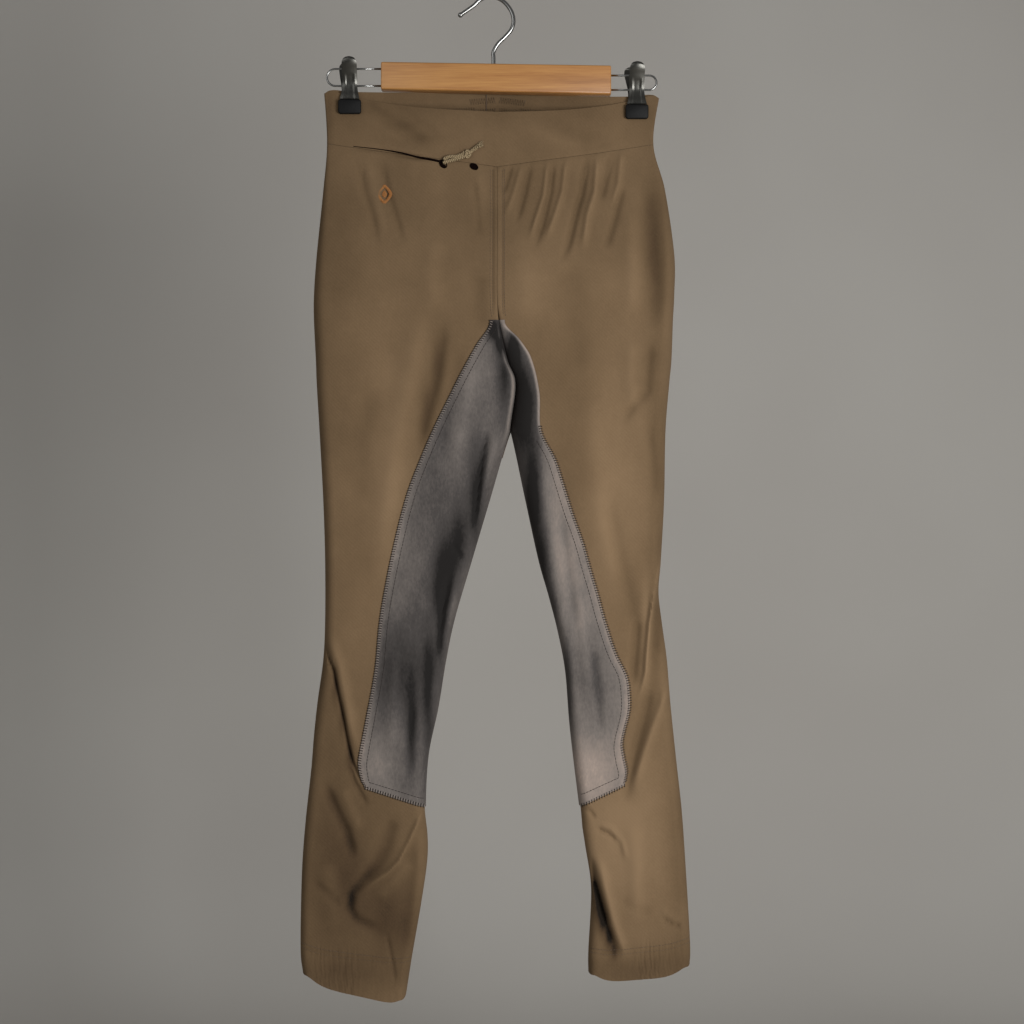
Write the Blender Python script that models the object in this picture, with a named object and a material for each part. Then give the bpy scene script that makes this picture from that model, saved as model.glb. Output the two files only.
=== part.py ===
"""Riding pants hanging from a clip hanger: the construction.

All sizes are in millimetres and become metres in put(). The origin is the inside top of the hanger's
hook, +Z is up, and the front of the pants faces -Y. Right and left are the wearer's, so the right
leg is on the -X side.
"""
import math

import bmesh
import bpy

MM = 0.001

CLOTH = 1.2        # wall of a leg panel
BAND = 1.4         # wall of the waistband
HEM = 2.4          # wall where the hem is turned up inside
SUEDE = 1.0        # wall of a grip patch
LIFT = 0.25        # space between a panel and the patch on it
GAP = 0.15         # half of the space left at every seam
CLIP_DEPTH = 1.7   # half thickness of the band where the clips close on it
BAND_OPEN = 14.0   # half depth of the waist halfway between the clips
BAND_MID = 3.3     # x halfway between the clips
BAND_HALF = 142.0  # from there to the near edge of a clip's pads
HEM_BOW = 17.0     # how far a hem hangs down between its two seams

WIRE_R = 1.1
HOOK_R = 2.2
CORD_R = 1.3
SHEET = 1.2        # steel of a clip

# One row per level, from the waist to the hem. out_x and out_z: the side seam. in_x: the centre seam
# or inseam, in_z its height in front, back_z behind. front, back: depth of the cloth before and
# behind the middle plane. out_roll, in_roll: width over which the cloth turns to each seam. tuck_f,
# tuck_b: how far the centre seam has gone in, 1 at the inseam. fork_y: y of the inseam.
# How far the band's top edge hangs between the centre and a side.
TOP_SAG = {"front_right": 5.0, "front_left": 5.0, "back_right": 4.0, "back_left": 5.5}

COLUMNS = ("out_x", "out_z", "in_x", "in_z", "back_z", "front", "back",
           "out_roll", "in_roll", "tuck_f", "tuck_b", "fork_y")
RIGHT = (
    (-179, -100, 8, -125.5, -93, 3, 3, 2, 6, 0, 0, 0),           # top of the band
    (-176, -157, 8, -184, -166, 5, 5, 3, 6, 0, 0, 0),            # foot of the band
    (-180, -207, 8, -226, -215, 11, 12, 7, 6, 0, 0, 0),          # upper hip
    (-187, -277, 8, -280, -278, 16, 18, 11, 6, 0, 0, 0),         # hip
    (-190, -320, 8, -321, -321, 18, 21, 13, 6, 0, 0, 0),         # low hip
    (-190, -349, 10, -349, -349, 18, 22, 13, 5, 0.15, 0, 0),     # top of the front patches
    (-188, -390, 19, -390, -390, 18, 22, 13, 8, 0.6, 0, 2),      # groin
    (-187, -417, 28, -417, -417, 18, 22, 13, 10, 0.85, 0.15, 4), # seat
    (-184, -468, 22, -468, -468, 18, 21, 13, 12, 1, 1, 6),       # fork
    (-180, -542, 0, -542, -542, 18, 19, 13, 14, 1, 1, 4),        # thigh
    (-178, -606, -19, -606, -606, 18, 18, 12, 14, 1, 1, 2),      # low thigh
    (-178, -671, -38, -671, -671, 17, 17, 12, 13, 1, 1, 0),      # above the knee
    (-180, -714, -47.5, -717, -717, 17, 17, 12, 12, 1, 1, 0),      # knee
    (-186, -758, -55.5, -766, -766, 16, 16, 12, 12, 1, 1, 0),      # below the knee
    (-190, -795, -66, -817, -817, 15, 15, 11, 12, 1, 1, 0),      # top of the calf
    (-193, -832, -69, -872, -872, 14, 15, 11, 12, 1, 1, 0),      # foot of the patches
    (-199, -887, -67, -922, -922, 14, 15, 11, 12, 1, 1, 0),      # calf
    (-203, -943, -74, -976, -976, 14, 14, 10, 11, 1, 1, 0),      # low calf
    (-204.5, -1020, -84.5, -1034, -1034, 13, 13, 10, 10, 1, 1, 0),  # hem's stitch line
    (-202, -1044, -90.5, -1069, -1069, 12, 12, 9, 9, 1, 1, 0),   # hem
)
LEFT = (
    (182.5, -105, 8, -125.5, -93, 3, 3, 2, 6, 0, 0, 0),
    (176.5, -158, 8, -184, -166, 5, 5, 3, 6, 0, 0, 0),
    (189, -207, 8, -226, -215, 11, 12, 7, 6, 0, 0, 0),
    (199, -277, 8, -280, -278, 16, 18, 11, 6, 0, 0, 0),
    (199, -320, 8, -321, -321, 18, 21, 13, 6, 0, 0, 0),
    (197.5, -349, 10, -349, -349, 18, 22, 13, 4, 0.15, 0, 0),
    (196, -390, 19, -390, -390, 18, 22, 13, 16, 0.6, 0, 2),
    (193.5, -417, 28, -417, -417, 18, 22, 13, 20, 0.85, 0.15, 4),
    (189.5, -468, 22, -468, -468, 18, 21, 13, 28, 1, 1, 6),
    (188, -542, 38, -542, -542, 18, 19, 13, 22, 1, 1, 4),
    (184.5, -606, 52, -606, -606, 18, 18, 12, 19, 1, 1, 2),
    (182, -641, 63, -645, -645, 17, 17, 12, 12, 1, 1, 0),
    (186, -677, 73, -684, -684, 17, 17, 12, 10, 1, 1, 0),
    (191, -714, 81, -727, -727, 16, 16, 12, 10, 1, 1, 0),
    (195, -763, 86, -788, -788, 15, 15, 11, 11, 1, 1, 0),
    (201, -821, 96, -871, -871, 14, 15, 11, 11, 1, 1, 0),
    (207, -876, 102.5, -914, -914, 14, 15, 11, 12, 1, 1, 0),
    (211, -933, 109, -961, -961, 14, 14, 10, 11, 1, 1, 0),
    (216, -1015, 106, -1025, -1025, 13, 13, 10, 10, 1, 1, 0),
    (215.5, -1035.5, 106, -1044, -1044, 12, 12, 9, 9, 1, 1, 0),
)
FRONT_PATCH, SEAT_PATCH, FORK, PATCH_FOOT, HEM_LINE = 5, 2.5, 8, 15, 18

# Outer edge of the grip patches: (drop below the hook, x). The first rows, above a patch, and the
# last ones, below it, only steer the grid of the panel.
EDGES = {
    "front_right": ((100, -45), (240, -40), (310, -14), (351, 0), (377, -15), (406, -31), (438, -47),
                    (467, -61), (502, -76), (537, -89), (592, -103), (652, -115), (681, -119),
                    (724, -123), (779, -133), (810, -139), (825, -141), (842, -138), (850, -134),
                    (900, -134), (1100, -146)),
    "front_left": ((100, 60), (240, 50), (310, 30), (351, 16), (370, 32), (389, 44), (426, 53),
                   (468, 55), (498, 70), (522, 78), (554, 88), (588, 100), (613, 107), (640, 115),
                   (676, 125), (708, 136), (731, 147), (756, 150), (771, 149), (787, 145), (803, 142),
                   (818, 144), (833, 147), (848, 145), (900, 150), (1100, 160)),
    "back_right": ((100, -70), (240, -78), (300, -104), (380, -120), (470, -118), (560, -116),
                   (680, -122), (780, -134), (850, -134), (1100, -146)),
    "back_left": ((100, 80), (240, 92), (300, 116), (380, 130), (470, 126), (560, 124),
                  (680, 132), (780, 146), (850, 145), (1100, 160)),
}

# A point of the width: (zone, share of it). 0 turns in from the side seam, 1 goes to the patch's
# edge, 2 goes on under the patch, 3 turns to the centre seam or inseam.
ACROSS = ((0, 0), (0, 0.33), (0, 0.67), (1, 0), (1, 0.33), (1, 0.67), (2, 0), (2, 0.5),
          (3, 0), (3, 0.28), (3, 0.55), (3, 0.8), (3, 1))
PATCH_FROM = 6
DOWN = (1.006, 1.5, 2, 2.5, 3, 3.5, 4, 4.5, 5, 5.5, 6, 6.5, 7, 7.33, 7.66, 8, 8.5, 9, 10, 11, 12, 13,
        14, 15, 16, 17, 17.97, 18.03, 19)
BAND_DOWN = (0, 0.5, 1)


def curve(knots, values, t):
    """Smooth line through (knot, value) pairs, read at t."""
    last = len(knots) - 1
    t = min(max(t, knots[0]), knots[last])
    i = 0
    while i < last - 1 and t > knots[i + 1]:
        i += 1

    def slope(j):
        a, b = max(j - 1, 0), min(j + 1, last)
        return (values[b] - values[a]) / (knots[b] - knots[a])

    h = knots[i + 1] - knots[i]
    s = (t - knots[i]) / h
    return ((1 + 2 * s) * (1 - s) ** 2 * values[i] + s * (1 - s) ** 2 * h * slope(i)
            + s * s * (3 - 2 * s) * values[i + 1] + s * s * (s - 1) * h * slope(i + 1))


def ease(t):
    t = min(max(t, 0.0), 1.0)
    return t * t * (3 - 2 * t)


def row(leg, v):
    table = RIGHT if leg == "right" else LEFT
    knots = list(range(len(table)))
    r = {name: curve(knots, [line[i] for line in table], v) for i, name in enumerate(COLUMNS)}
    # The two legs share the centre seam as far as the fork, so its line is read apart from theirs.
    part = slice(0, FORK + 1) if v <= FORK else slice(FORK, len(table))
    r["in_x"] = curve(knots[part], [line[2] for line in table[part]], v)
    r["tuck_f"] = min(max(r["tuck_f"], 0.0), 1.0)
    r["tuck_b"] = min(max(r["tuck_b"], 0.0), 1.0)
    return r


def place(leg, face, v, zone, share, off, gap=GAP):
    """Point on a panel moved out by off (in for the inner side of a wall)."""
    r = row(leg, v)
    way = 1 if leg == "right" else -1
    in_z = r["in_z"] if face == "front" else r["back_z"]
    tuck = r["tuck_f"] if face == "front" else r["tuck_b"]
    turned = ease(tuck * 2.5)
    width = (r["in_x"] - r["out_x"]) * way - gap
    sag = TOP_SAG[face + "_" + leg] * (1 - ease(v))
    bow = HEM_BOW * ease((v - HEM_LINE + 1) / 2)

    def height(s):
        u = s / width
        near = min(max(u, 0), 1)
        return (r["out_z"] + (in_z - r["out_z"]) * u - sag * math.sin(math.pi * near)
                - bow * (1 - (2 * near - 1) ** 4))

    edge = EDGES[face + "_" + leg]
    s_edge = 0.5 * width
    for _ in range(6):
        s_edge = (curve([-e[0] for e in edge][::-1], [e[1] for e in edge][::-1], height(s_edge))
                  - r["out_x"]) * way
    s_edge = min(max(s_edge, r["out_roll"] + 4), width - 3)
    in_roll = min(r["in_roll"], 0.8 * (width - s_edge))

    under = (LIFT + SUEDE) * (1 - ease((v - PATCH_FOOT) / 0.6))
    s_end = width + (off - under) * turned
    arc = share * math.pi / 2
    if zone == 0:
        s = -off + (r["out_roll"] + off) * (1 - math.cos(arc))
    elif zone == 1:
        s = r["out_roll"] + (s_edge - r["out_roll"]) * share
    elif zone == 2:
        s = s_edge + (width - in_roll - s_edge) * share
    else:
        s = s_end - (s_end - width + in_roll) * (1 - math.sin(arc))
    x = r["out_x"] + way * s

    pinch = math.cos(math.pi / 2 * min(1, abs(x - BAND_MID) / BAND_HALF)) ** 2
    pinch = CLIP_DEPTH + (BAND_OPEN - CLIP_DEPTH) * pinch
    near_band = 1 - ease((v - 0.6) / 2.6)
    deep = near_band * pinch + (1 - near_band) * r[face]
    level = deep + off
    if zone == 0:
        y = level * math.sin(arc)
    elif zone == 3:
        fork = -r["fork_y"] if face == "front" else r["fork_y"]
        end = deep - tuck * (deep - fork) + off * (1 - turned)
        y = end + (level - end) * math.cos(arc)
    else:
        y = level
    y += GAP
    return (x, -y if face == "front" else y, height(s))


def put(name, points, faces, material):
    mesh = bpy.data.meshes.new(name)
    mesh.from_pydata([(x * MM, y * MM, z * MM) for x, y, z in points], [], faces)
    bm = bmesh.new()
    bm.from_mesh(mesh)
    bmesh.ops.recalc_face_normals(bm, faces=bm.faces)
    bmesh.ops.triangulate(bm, faces=bm.faces)
    bm.to_mesh(mesh)
    bm.free()
    mesh.materials.append(material)
    ob = bpy.data.objects.new(name, mesh)
    bpy.context.collection.objects.link(ob)
    return ob


def wall(name, outer, inner, material):
    """Closed solid between two equal grids of points."""
    n, m = len(outer), len(outer[0])
    points = [p for line in outer for p in line] + [p for line in inner for p in line]
    faces = []
    for i in range(n - 1):
        for j in range(m - 1):
            a, b, c, d = i * m + j, i * m + j + 1, (i + 1) * m + j + 1, (i + 1) * m + j
            faces += [(a, b, c), (a, c, d)]
            a, b, c, d = a + n * m, b + n * m, c + n * m, d + n * m
            faces += [(a, c, b), (a, d, c)]
    rim = ([(0, j) for j in range(m)] + [(i, m - 1) for i in range(1, n)]
           + [(n - 1, j) for j in range(m - 2, -1, -1)] + [(i, 0) for i in range(n - 2, 0, -1)])
    for k, (i, j) in enumerate(rim):
        i2, j2 = rim[(k + 1) % len(rim)]
        a, b = i * m + j, i2 * m + j2
        faces += [(a, a + n * m, b), (b, a + n * m, b + n * m)]
    return put(name, points, faces, material)


def material(name, colour, rough, metal=0.0):
    mat = bpy.data.materials.new(name)
    mat.use_nodes = True
    shader = mat.node_tree.nodes["Principled BSDF"]
    shader.inputs["Base Color"].default_value = (*colour, 1)
    shader.inputs["Roughness"].default_value = rough
    shader.inputs["Metallic"].default_value = metal
    mat.diffuse_color = (*colour, 1)
    return mat


def hem_wall(v):
    return HEM if v > HEM_LINE else CLOTH


def panel(face, leg, mat):
    outer = [[place(leg, face, v, z, t, 0) for z, t in ACROSS] for v in DOWN]
    inner = [[place(leg, face, v, z, t, -hem_wall(v)) for z, t in ACROSS] for v in DOWN]
    wall(face + "_" + leg, outer, inner, mat)


def patch(name, face, leg, top, mat):
    down = [v for v in DOWN if top <= v <= PATCH_FOOT]
    across = ACROSS[PATCH_FROM:]
    outer = [[place(leg, face, v, z, t, LIFT + SUEDE) for z, t in across] for v in down]
    inner = [[place(leg, face, v, z, t, LIFT) for z, t in across] for v in down]
    wall(name, outer, inner, mat)


def band(face, mat):
    sides = []
    for off in (0, -BAND):
        grid = []
        for v in BAND_DOWN:
            right = [place("right", face, v, z, t, off, 0) for z, t in ACROSS]
            left = [place("left", face, v, z, t, off, 0) for z, t in ACROSS[:-1]]
            grid.append(right + left[::-1])
        sides.append(grid)
    wall("waistband_" + face, sides[0], sides[1], mat)


def spline(points, steps):
    """Points along a smooth line through the given ones."""
    knots = list(range(len(points)))
    n = (len(points) - 1) * steps
    return [tuple(curve(knots, [p[k] for p in points], i / steps) for k in range(3))
            for i in range(n + 1)]


def tube(name, path, radii, sides, mat):
    """Round rod along a path, with flat ends."""
    points, faces = [], []
    up = (0.0, 1.0, 0.0)
    for i, p in enumerate(path):
        a, b = path[max(i - 1, 0)], path[min(i + 1, len(path) - 1)]
        t = [b[k] - a[k] for k in range(3)]
        size = math.sqrt(sum(c * c for c in t))
        t = [c / size for c in t]
        across = (t[1] * up[2] - t[2] * up[1], t[2] * up[0] - t[0] * up[2], t[0] * up[1] - t[1] * up[0])
        size = math.sqrt(sum(c * c for c in across))
        across = [c / size for c in across]
        rise = (across[1] * t[2] - across[2] * t[1], across[2] * t[0] - across[0] * t[2],
                across[0] * t[1] - across[1] * t[0])
        for j in range(sides):
            w = 2 * math.pi * j / sides
            points.append(tuple(p[k] + radii[i] * (math.cos(w) * across[k] + math.sin(w) * rise[k])
                                for k in range(3)))
    n = len(path)
    for i in range(n - 1):
        for j in range(sides):
            k = (j + 1) % sides
            faces.append((i * sides + j, i * sides + k, (i + 1) * sides + k, (i + 1) * sides + j))
    faces.append(tuple(range(sides - 1, -1, -1)))
    faces.append(tuple((n - 1) * sides + j for j in range(sides)))
    put(name, points, faces, mat)


def bar(mat):
    """Wooden bar: (x, top, foot) at its two ends, with all long edges bevelled."""
    ends = ((-117.3, -70, -99.5), (130.4, -74, -105))
    half, cut = 6.0, 2.0
    points = []
    for x, top, foot in ends:
        points += [(x, -half, top - cut), (x, -half + cut, top), (x, half - cut, top),
                   (x, half, top - cut), (x, half, foot + cut), (x, half - cut, foot),
                   (x, -half + cut, foot), (x, -half, foot + cut)]
    faces = [tuple(range(8)), tuple(range(15, 7, -1))]
    faces += [(j, (j + 1) % 8, 8 + (j + 1) % 8, 8 + j) for j in range(8)]
    put("hanger_bar", points, faces, mat)


HOOK = ((3.8, -71.7), (3.8, -64), (3.8, -57.8), (8.6, -49.1), (16.2, -41.6), (22.7, -34), (25.4, -25.4),
        (23.8, -15.7), (18.4, -7), (10.8, -0.8), (0, 2.2), (-10.8, -1.6), (-17.3, -7.6),
        (-24.6, -12.8), (-30.2, -16.7))


def hook(mat):
    path = spline([(x, 0, z) for x, z in HOOK], 2)
    end, before = path[-1], path[-2]
    step = [(end[k] - before[k]) / 3.4 for k in range(3)]
    radii = [HOOK_R] * len(path)
    for along, r in ((0.6, 2.5), (1.6, 2.8), (2.8, 2.8), (3.8, 2.3), (4.5, 1.2)):
        path.append(tuple(end[k] + step[k] * along for k in range(3)))
        radii.append(r)
    tube("hanger_hook", path, radii, 10, mat)


def rod(name, start, end, top, foot, mat):
    """U of wire that carries a clip, standing out from an end of the bar."""
    r = (top - foot) / 2
    way = 1 if end > start else -1
    centre = end - way * (r + WIRE_R)
    path = [(start, 0, top), ((start + centre) / 2, 0, top)]
    for i in range(11):
        a = math.pi * i / 10
        path.append((centre + way * r * math.sin(a), 0, (top + foot) / 2 + r * math.cos(a)))
    path += [((start + centre) / 2, 0, foot), (start, 0, foot)]
    tube(name, path, [WIRE_R] * len(path), 8, mat)


# Side view of a jaw: (drop below its top, distance from the middle plane, half width).
JAW = ((0, 12.4, 3.6), (1.2, 13.1, 6.0), (4, 13.2, 7.8), (9, 11.4, 8.6), (14.5, 8.2, 8.6),
       (22, 4.6, 8.2), (28, 2.6, 7.6), (32, 1.9, 7.4), (38, 2.6, 8.6), (43, 3.6, 10.2), (47.2, 4.2, 11.4))
JAW_ARCH = 1.2


def jaw(name, x0, top, way, mat):
    outer, inner = [], []
    for i, (drop, y, half) in enumerate(JAW):
        a, b = JAW[max(i - 1, 0)], JAW[min(i + 1, len(JAW) - 1)]
        size = math.hypot(b[0] - a[0], b[1] - a[1])
        ny, nz = (b[0] - a[0]) / size, (b[1] - a[1]) / size
        for grid, off in ((outer, SHEET / 2), (inner, -SHEET / 2)):
            grid.append([(x0 + half * t, way * (y + JAW_ARCH * (1 - t * t) + off * ny),
                          top - drop + off * nz) for t in (-1, -0.5, 0, 0.5, 1)])
    wall(name, outer, inner, mat)


PAD = (12.4, 7.9, 4.6, 3.0)    # half width, half height, thickness, corner radius


def pad(name, x0, z0, way, mat):
    half_w, half_h, thick, r = PAD
    near = CLIP_DEPTH + 2 * GAP
    rings = []
    for y, take in ((near, 0.8), (near + 0.8, 0), (near + thick - 1, 0), (near + thick, 1.0)):
        ring = []
        for cx, cz, first in ((1, 1, 0), (-1, 1, 90), (-1, -1, 180), (1, -1, 270)):
            for a in (0, 45, 90):
                w = math.radians(first + a)
                ring.append((x0 + cx * (half_w - r) + (r - take) * math.cos(w), way * y,
                             z0 + cz * (half_h - r) + (r - take) * math.sin(w)))
        rings.append(ring)
    n = len(rings[0])
    points = [p for ring in rings for p in ring]
    faces = [tuple(range(n)), tuple(range(4 * n - 1, 3 * n - 1, -1))]
    for i in range(3):
        faces += [(i * n + j, i * n + (j + 1) % n, (i + 1) * n + (j + 1) % n, (i + 1) * n + j)
                  for j in range(n)]
    put(name, points, faces, mat)


# Ends of the hanger: name, centre of the clip, top of its jaws, middle height of its pads, and the
# wire's start, end, upper and lower height.
ENDS = (
    ("right", -151.2, -62.1, -117.7, -117.6, -177.1, -76.1, -94.5),
    ("left", 158.4, -67.5, -123.1, 130.7, 180.9, -83.2, -98.8),
)
# Centre lines of the short cord: (x, y, z).
CORD_LOW = ((-50, -11.9, -179.6), (-41, -12.9, -177.2), (-31, -14, -174.6), (-24.5, -15, -171.6),
            (-20.5, -15.5, -168.4), (-16, -15.4, -165), (-10.5, -15.6, -161.2))
CORD_TOP = ((-49.5, -11.9, -175.6), (-43.5, -12.7, -173.4), (-36, -13.5, -173.2),
            (-30, -14.3, -171.3), (-27.2, -14.6, -169.2))


def main():
    for ob in list(bpy.data.objects):
        bpy.data.objects.remove(ob, do_unlink=True)
    cloth = material("cloth", (0.145, 0.095, 0.048), 0.92)
    suede = material("suede", (0.09, 0.08, 0.072), 0.95)
    thread = material("cord", (0.42, 0.33, 0.22), 0.9)
    wood = material("wood", (0.42, 0.24, 0.11), 0.45)
    chrome = material("chrome", (0.62, 0.62, 0.63), 0.18, 1.0)
    steel = material("clip_steel", (0.3, 0.3, 0.31), 0.28, 1.0)
    rubber = material("rubber", (0.012, 0.012, 0.012), 0.6)

    for face in ("front", "back"):
        band(face, cloth)
        for leg in ("right", "left"):
            panel(face, leg, cloth)
    for leg in ("right", "left"):
        patch("suede_front_" + leg, "front", leg, FRONT_PATCH, suede)
        patch("suede_seat_" + leg, "back", leg, SEAT_PATCH, suede)

    low = spline(CORD_LOW, 3)
    tube("drawcord", low, [CORD_R * (1.55 if 11 <= i <= 13 else 1) for i in range(len(low))], 8, thread)
    top = spline(CORD_TOP, 3)
    tube("drawcord_loop", top, [CORD_R] * len(top), 8, thread)

    bar(wood)
    hook(chrome)
    for name, x0, jaw_top, pad_z, start, end, wire_top, wire_foot in ENDS:
        rod("hanger_rod_" + name, start, end, wire_top, wire_foot, chrome)
        for tail, way in (("", -1), ("_rear", 1)):
            jaw("clip_" + name + tail, x0, jaw_top, way, steel)
            pad("pad_" + name + tail, x0, pad_z, way, rubber)


main()
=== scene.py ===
"""Riding pants hanging from a wooden clip hanger: the looks.

Sizes are in millimetres in the same frame as the construction and become metres in solid(). The
cloth repeats the construction's sections at a finer grid and adds its folds, seams and stitching.
"""
import math

import bpy
import numpy as np
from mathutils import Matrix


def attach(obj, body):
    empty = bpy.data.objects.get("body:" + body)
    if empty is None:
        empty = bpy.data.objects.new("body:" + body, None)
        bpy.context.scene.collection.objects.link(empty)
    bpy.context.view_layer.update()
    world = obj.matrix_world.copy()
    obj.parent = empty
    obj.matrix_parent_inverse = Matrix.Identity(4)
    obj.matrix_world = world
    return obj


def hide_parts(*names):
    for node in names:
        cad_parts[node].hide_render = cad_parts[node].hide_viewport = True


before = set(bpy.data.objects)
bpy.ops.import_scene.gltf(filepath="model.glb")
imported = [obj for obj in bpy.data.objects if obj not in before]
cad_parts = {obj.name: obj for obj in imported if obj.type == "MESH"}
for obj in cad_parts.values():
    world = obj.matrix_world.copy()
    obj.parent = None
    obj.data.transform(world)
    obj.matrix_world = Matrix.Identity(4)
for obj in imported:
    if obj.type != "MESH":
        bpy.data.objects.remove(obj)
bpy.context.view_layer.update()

MM = 0.001
ALONG_Y = (0.0, 1.0, 0.0)

# The same sizes as in the construction.
CLOTH, BAND, HEM, SUEDE, LIFT, GAP = 1.2, 1.4, 2.4, 1.0, 0.25, 0.15
CLIP_DEPTH, BAND_OPEN, BAND_MID, BAND_HALF, HEM_BOW = 1.7, 14.0, 3.3, 142.0, 17.0
TOP_SAG = {"front_right": 5.0, "front_left": 5.0, "back_right": 4.0, "back_left": 5.5}
# Levels, as rows of the tables below: the patches' tops, where the legs part, the patches' foot, the
# hem's line of stitches.
FRONT_PATCH, SEAT_PATCH, FORK, PATCH_FOOT, HEM_LINE = 5, 2.5, 8, 15, 18
WIRE_R, HOOK_R, CORD_R, SHEET = 1.1, 2.2, 1.3, 1.2

# The sections of each leg from the band's top to the hem: the side seam's and the inner seam's place,
# how far front and back stand out, how round they turn at the seams, how far they meet at the inner leg.
COLUMNS = ("out_x", "out_z", "in_x", "in_z", "back_z", "front", "back",
           "out_roll", "in_roll", "tuck_f", "tuck_b", "fork_y")
RIGHT = (
    (-179, -100, 8, -125.5, -93, 3, 3, 2, 6, 0, 0, 0),
    (-176, -157, 8, -184, -166, 5, 5, 3, 6, 0, 0, 0),
    (-180, -207, 8, -226, -215, 11, 12, 7, 6, 0, 0, 0),
    (-187, -277, 8, -280, -278, 16, 18, 11, 6, 0, 0, 0),
    (-190, -320, 8, -321, -321, 18, 21, 13, 6, 0, 0, 0),
    (-190, -349, 10, -349, -349, 18, 22, 13, 5, 0.15, 0, 0),
    (-188, -390, 19, -390, -390, 18, 22, 13, 8, 0.6, 0, 2),
    (-187, -417, 28, -417, -417, 18, 22, 13, 10, 0.85, 0.15, 4),
    (-184, -468, 22, -468, -468, 18, 21, 13, 12, 1, 1, 6),
    (-180, -542, 0, -542, -542, 18, 19, 13, 14, 1, 1, 4),
    (-178, -606, -19, -606, -606, 18, 18, 12, 14, 1, 1, 2),
    (-178, -671, -38, -671, -671, 17, 17, 12, 13, 1, 1, 0),
    (-180, -714, -47.5, -717, -717, 17, 17, 12, 12, 1, 1, 0),
    (-186, -758, -55.5, -766, -766, 16, 16, 12, 12, 1, 1, 0),
    (-190, -795, -66, -817, -817, 15, 15, 11, 12, 1, 1, 0),
    (-193, -832, -69, -872, -872, 14, 15, 11, 12, 1, 1, 0),
    (-199, -887, -67, -922, -922, 14, 15, 11, 12, 1, 1, 0),
    (-203, -943, -74, -976, -976, 14, 14, 10, 11, 1, 1, 0),
    (-204.5, -1020, -84.5, -1034, -1034, 13, 13, 10, 10, 1, 1, 0),
    (-202, -1044, -90.5, -1069, -1069, 12, 12, 9, 9, 1, 1, 0),
)
LEFT = (
    (182.5, -105, 8, -125.5, -93, 3, 3, 2, 6, 0, 0, 0),
    (176.5, -158, 8, -184, -166, 5, 5, 3, 6, 0, 0, 0),
    (189, -207, 8, -226, -215, 11, 12, 7, 6, 0, 0, 0),
    (199, -277, 8, -280, -278, 16, 18, 11, 6, 0, 0, 0),
    (199, -320, 8, -321, -321, 18, 21, 13, 6, 0, 0, 0),
    (197.5, -349, 10, -349, -349, 18, 22, 13, 4, 0.15, 0, 0),
    (196, -390, 19, -390, -390, 18, 22, 13, 16, 0.6, 0, 2),
    (193.5, -417, 28, -417, -417, 18, 22, 13, 20, 0.85, 0.15, 4),
    (189.5, -468, 22, -468, -468, 18, 21, 13, 28, 1, 1, 6),
    (188, -542, 38, -542, -542, 18, 19, 13, 22, 1, 1, 4),
    (184.5, -606, 52, -606, -606, 18, 18, 12, 19, 1, 1, 2),
    (182, -641, 63, -645, -645, 17, 17, 12, 12, 1, 1, 0),
    (186, -677, 73, -684, -684, 17, 17, 12, 10, 1, 1, 0),
    (191, -714, 81, -727, -727, 16, 16, 12, 10, 1, 1, 0),
    (195, -763, 86, -788, -788, 15, 15, 11, 11, 1, 1, 0),
    (201, -821, 96, -871, -871, 14, 15, 11, 11, 1, 1, 0),
    (207, -876, 102.5, -914, -914, 14, 15, 11, 12, 1, 1, 0),
    (211, -933, 109, -961, -961, 14, 14, 10, 11, 1, 1, 0),
    (216, -1015, 106, -1025, -1025, 13, 13, 10, 10, 1, 1, 0),
    (215.5, -1035.5, 106, -1044, -1044, 12, 12, 9, 9, 1, 1, 0),
)
# Where a patch's edge, or the line that it would have, lies: (drop below the hook, x).
EDGES = {
    "front_right": (
        (100, -45), (240, -40), (310, -14), (351, 0), (377, -15), (406, -31), (438, -47), (467, -61),
        (502, -76), (537, -89), (592, -103), (652, -115), (681, -119), (724, -123), (779, -133),
        (810, -139), (825, -141), (842, -138), (850, -134), (900, -134), (1100, -146)),
    "front_left": (
        (100, 60), (240, 50), (310, 30), (351, 16), (370, 32), (389, 44), (426, 53), (468, 55), (498, 70),
        (522, 78), (554, 88), (588, 100), (613, 107), (640, 115), (676, 125), (708, 136), (731, 147),
        (756, 150), (771, 149), (787, 145), (803, 142), (818, 144), (833, 147), (848, 145), (900, 150),
        (1100, 160)),
    "back_right": (
        (100, -70), (240, -78), (300, -104), (380, -120), (470, -118), (560, -116), (680, -122),
        (780, -134), (850, -134), (1100, -146)),
    "back_left": (
        (100, 80), (240, 92), (300, 116), (380, 130), (470, 126), (560, 124), (680, 132), (780, 146),
        (850, 145), (1100, 160)),
}

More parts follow.
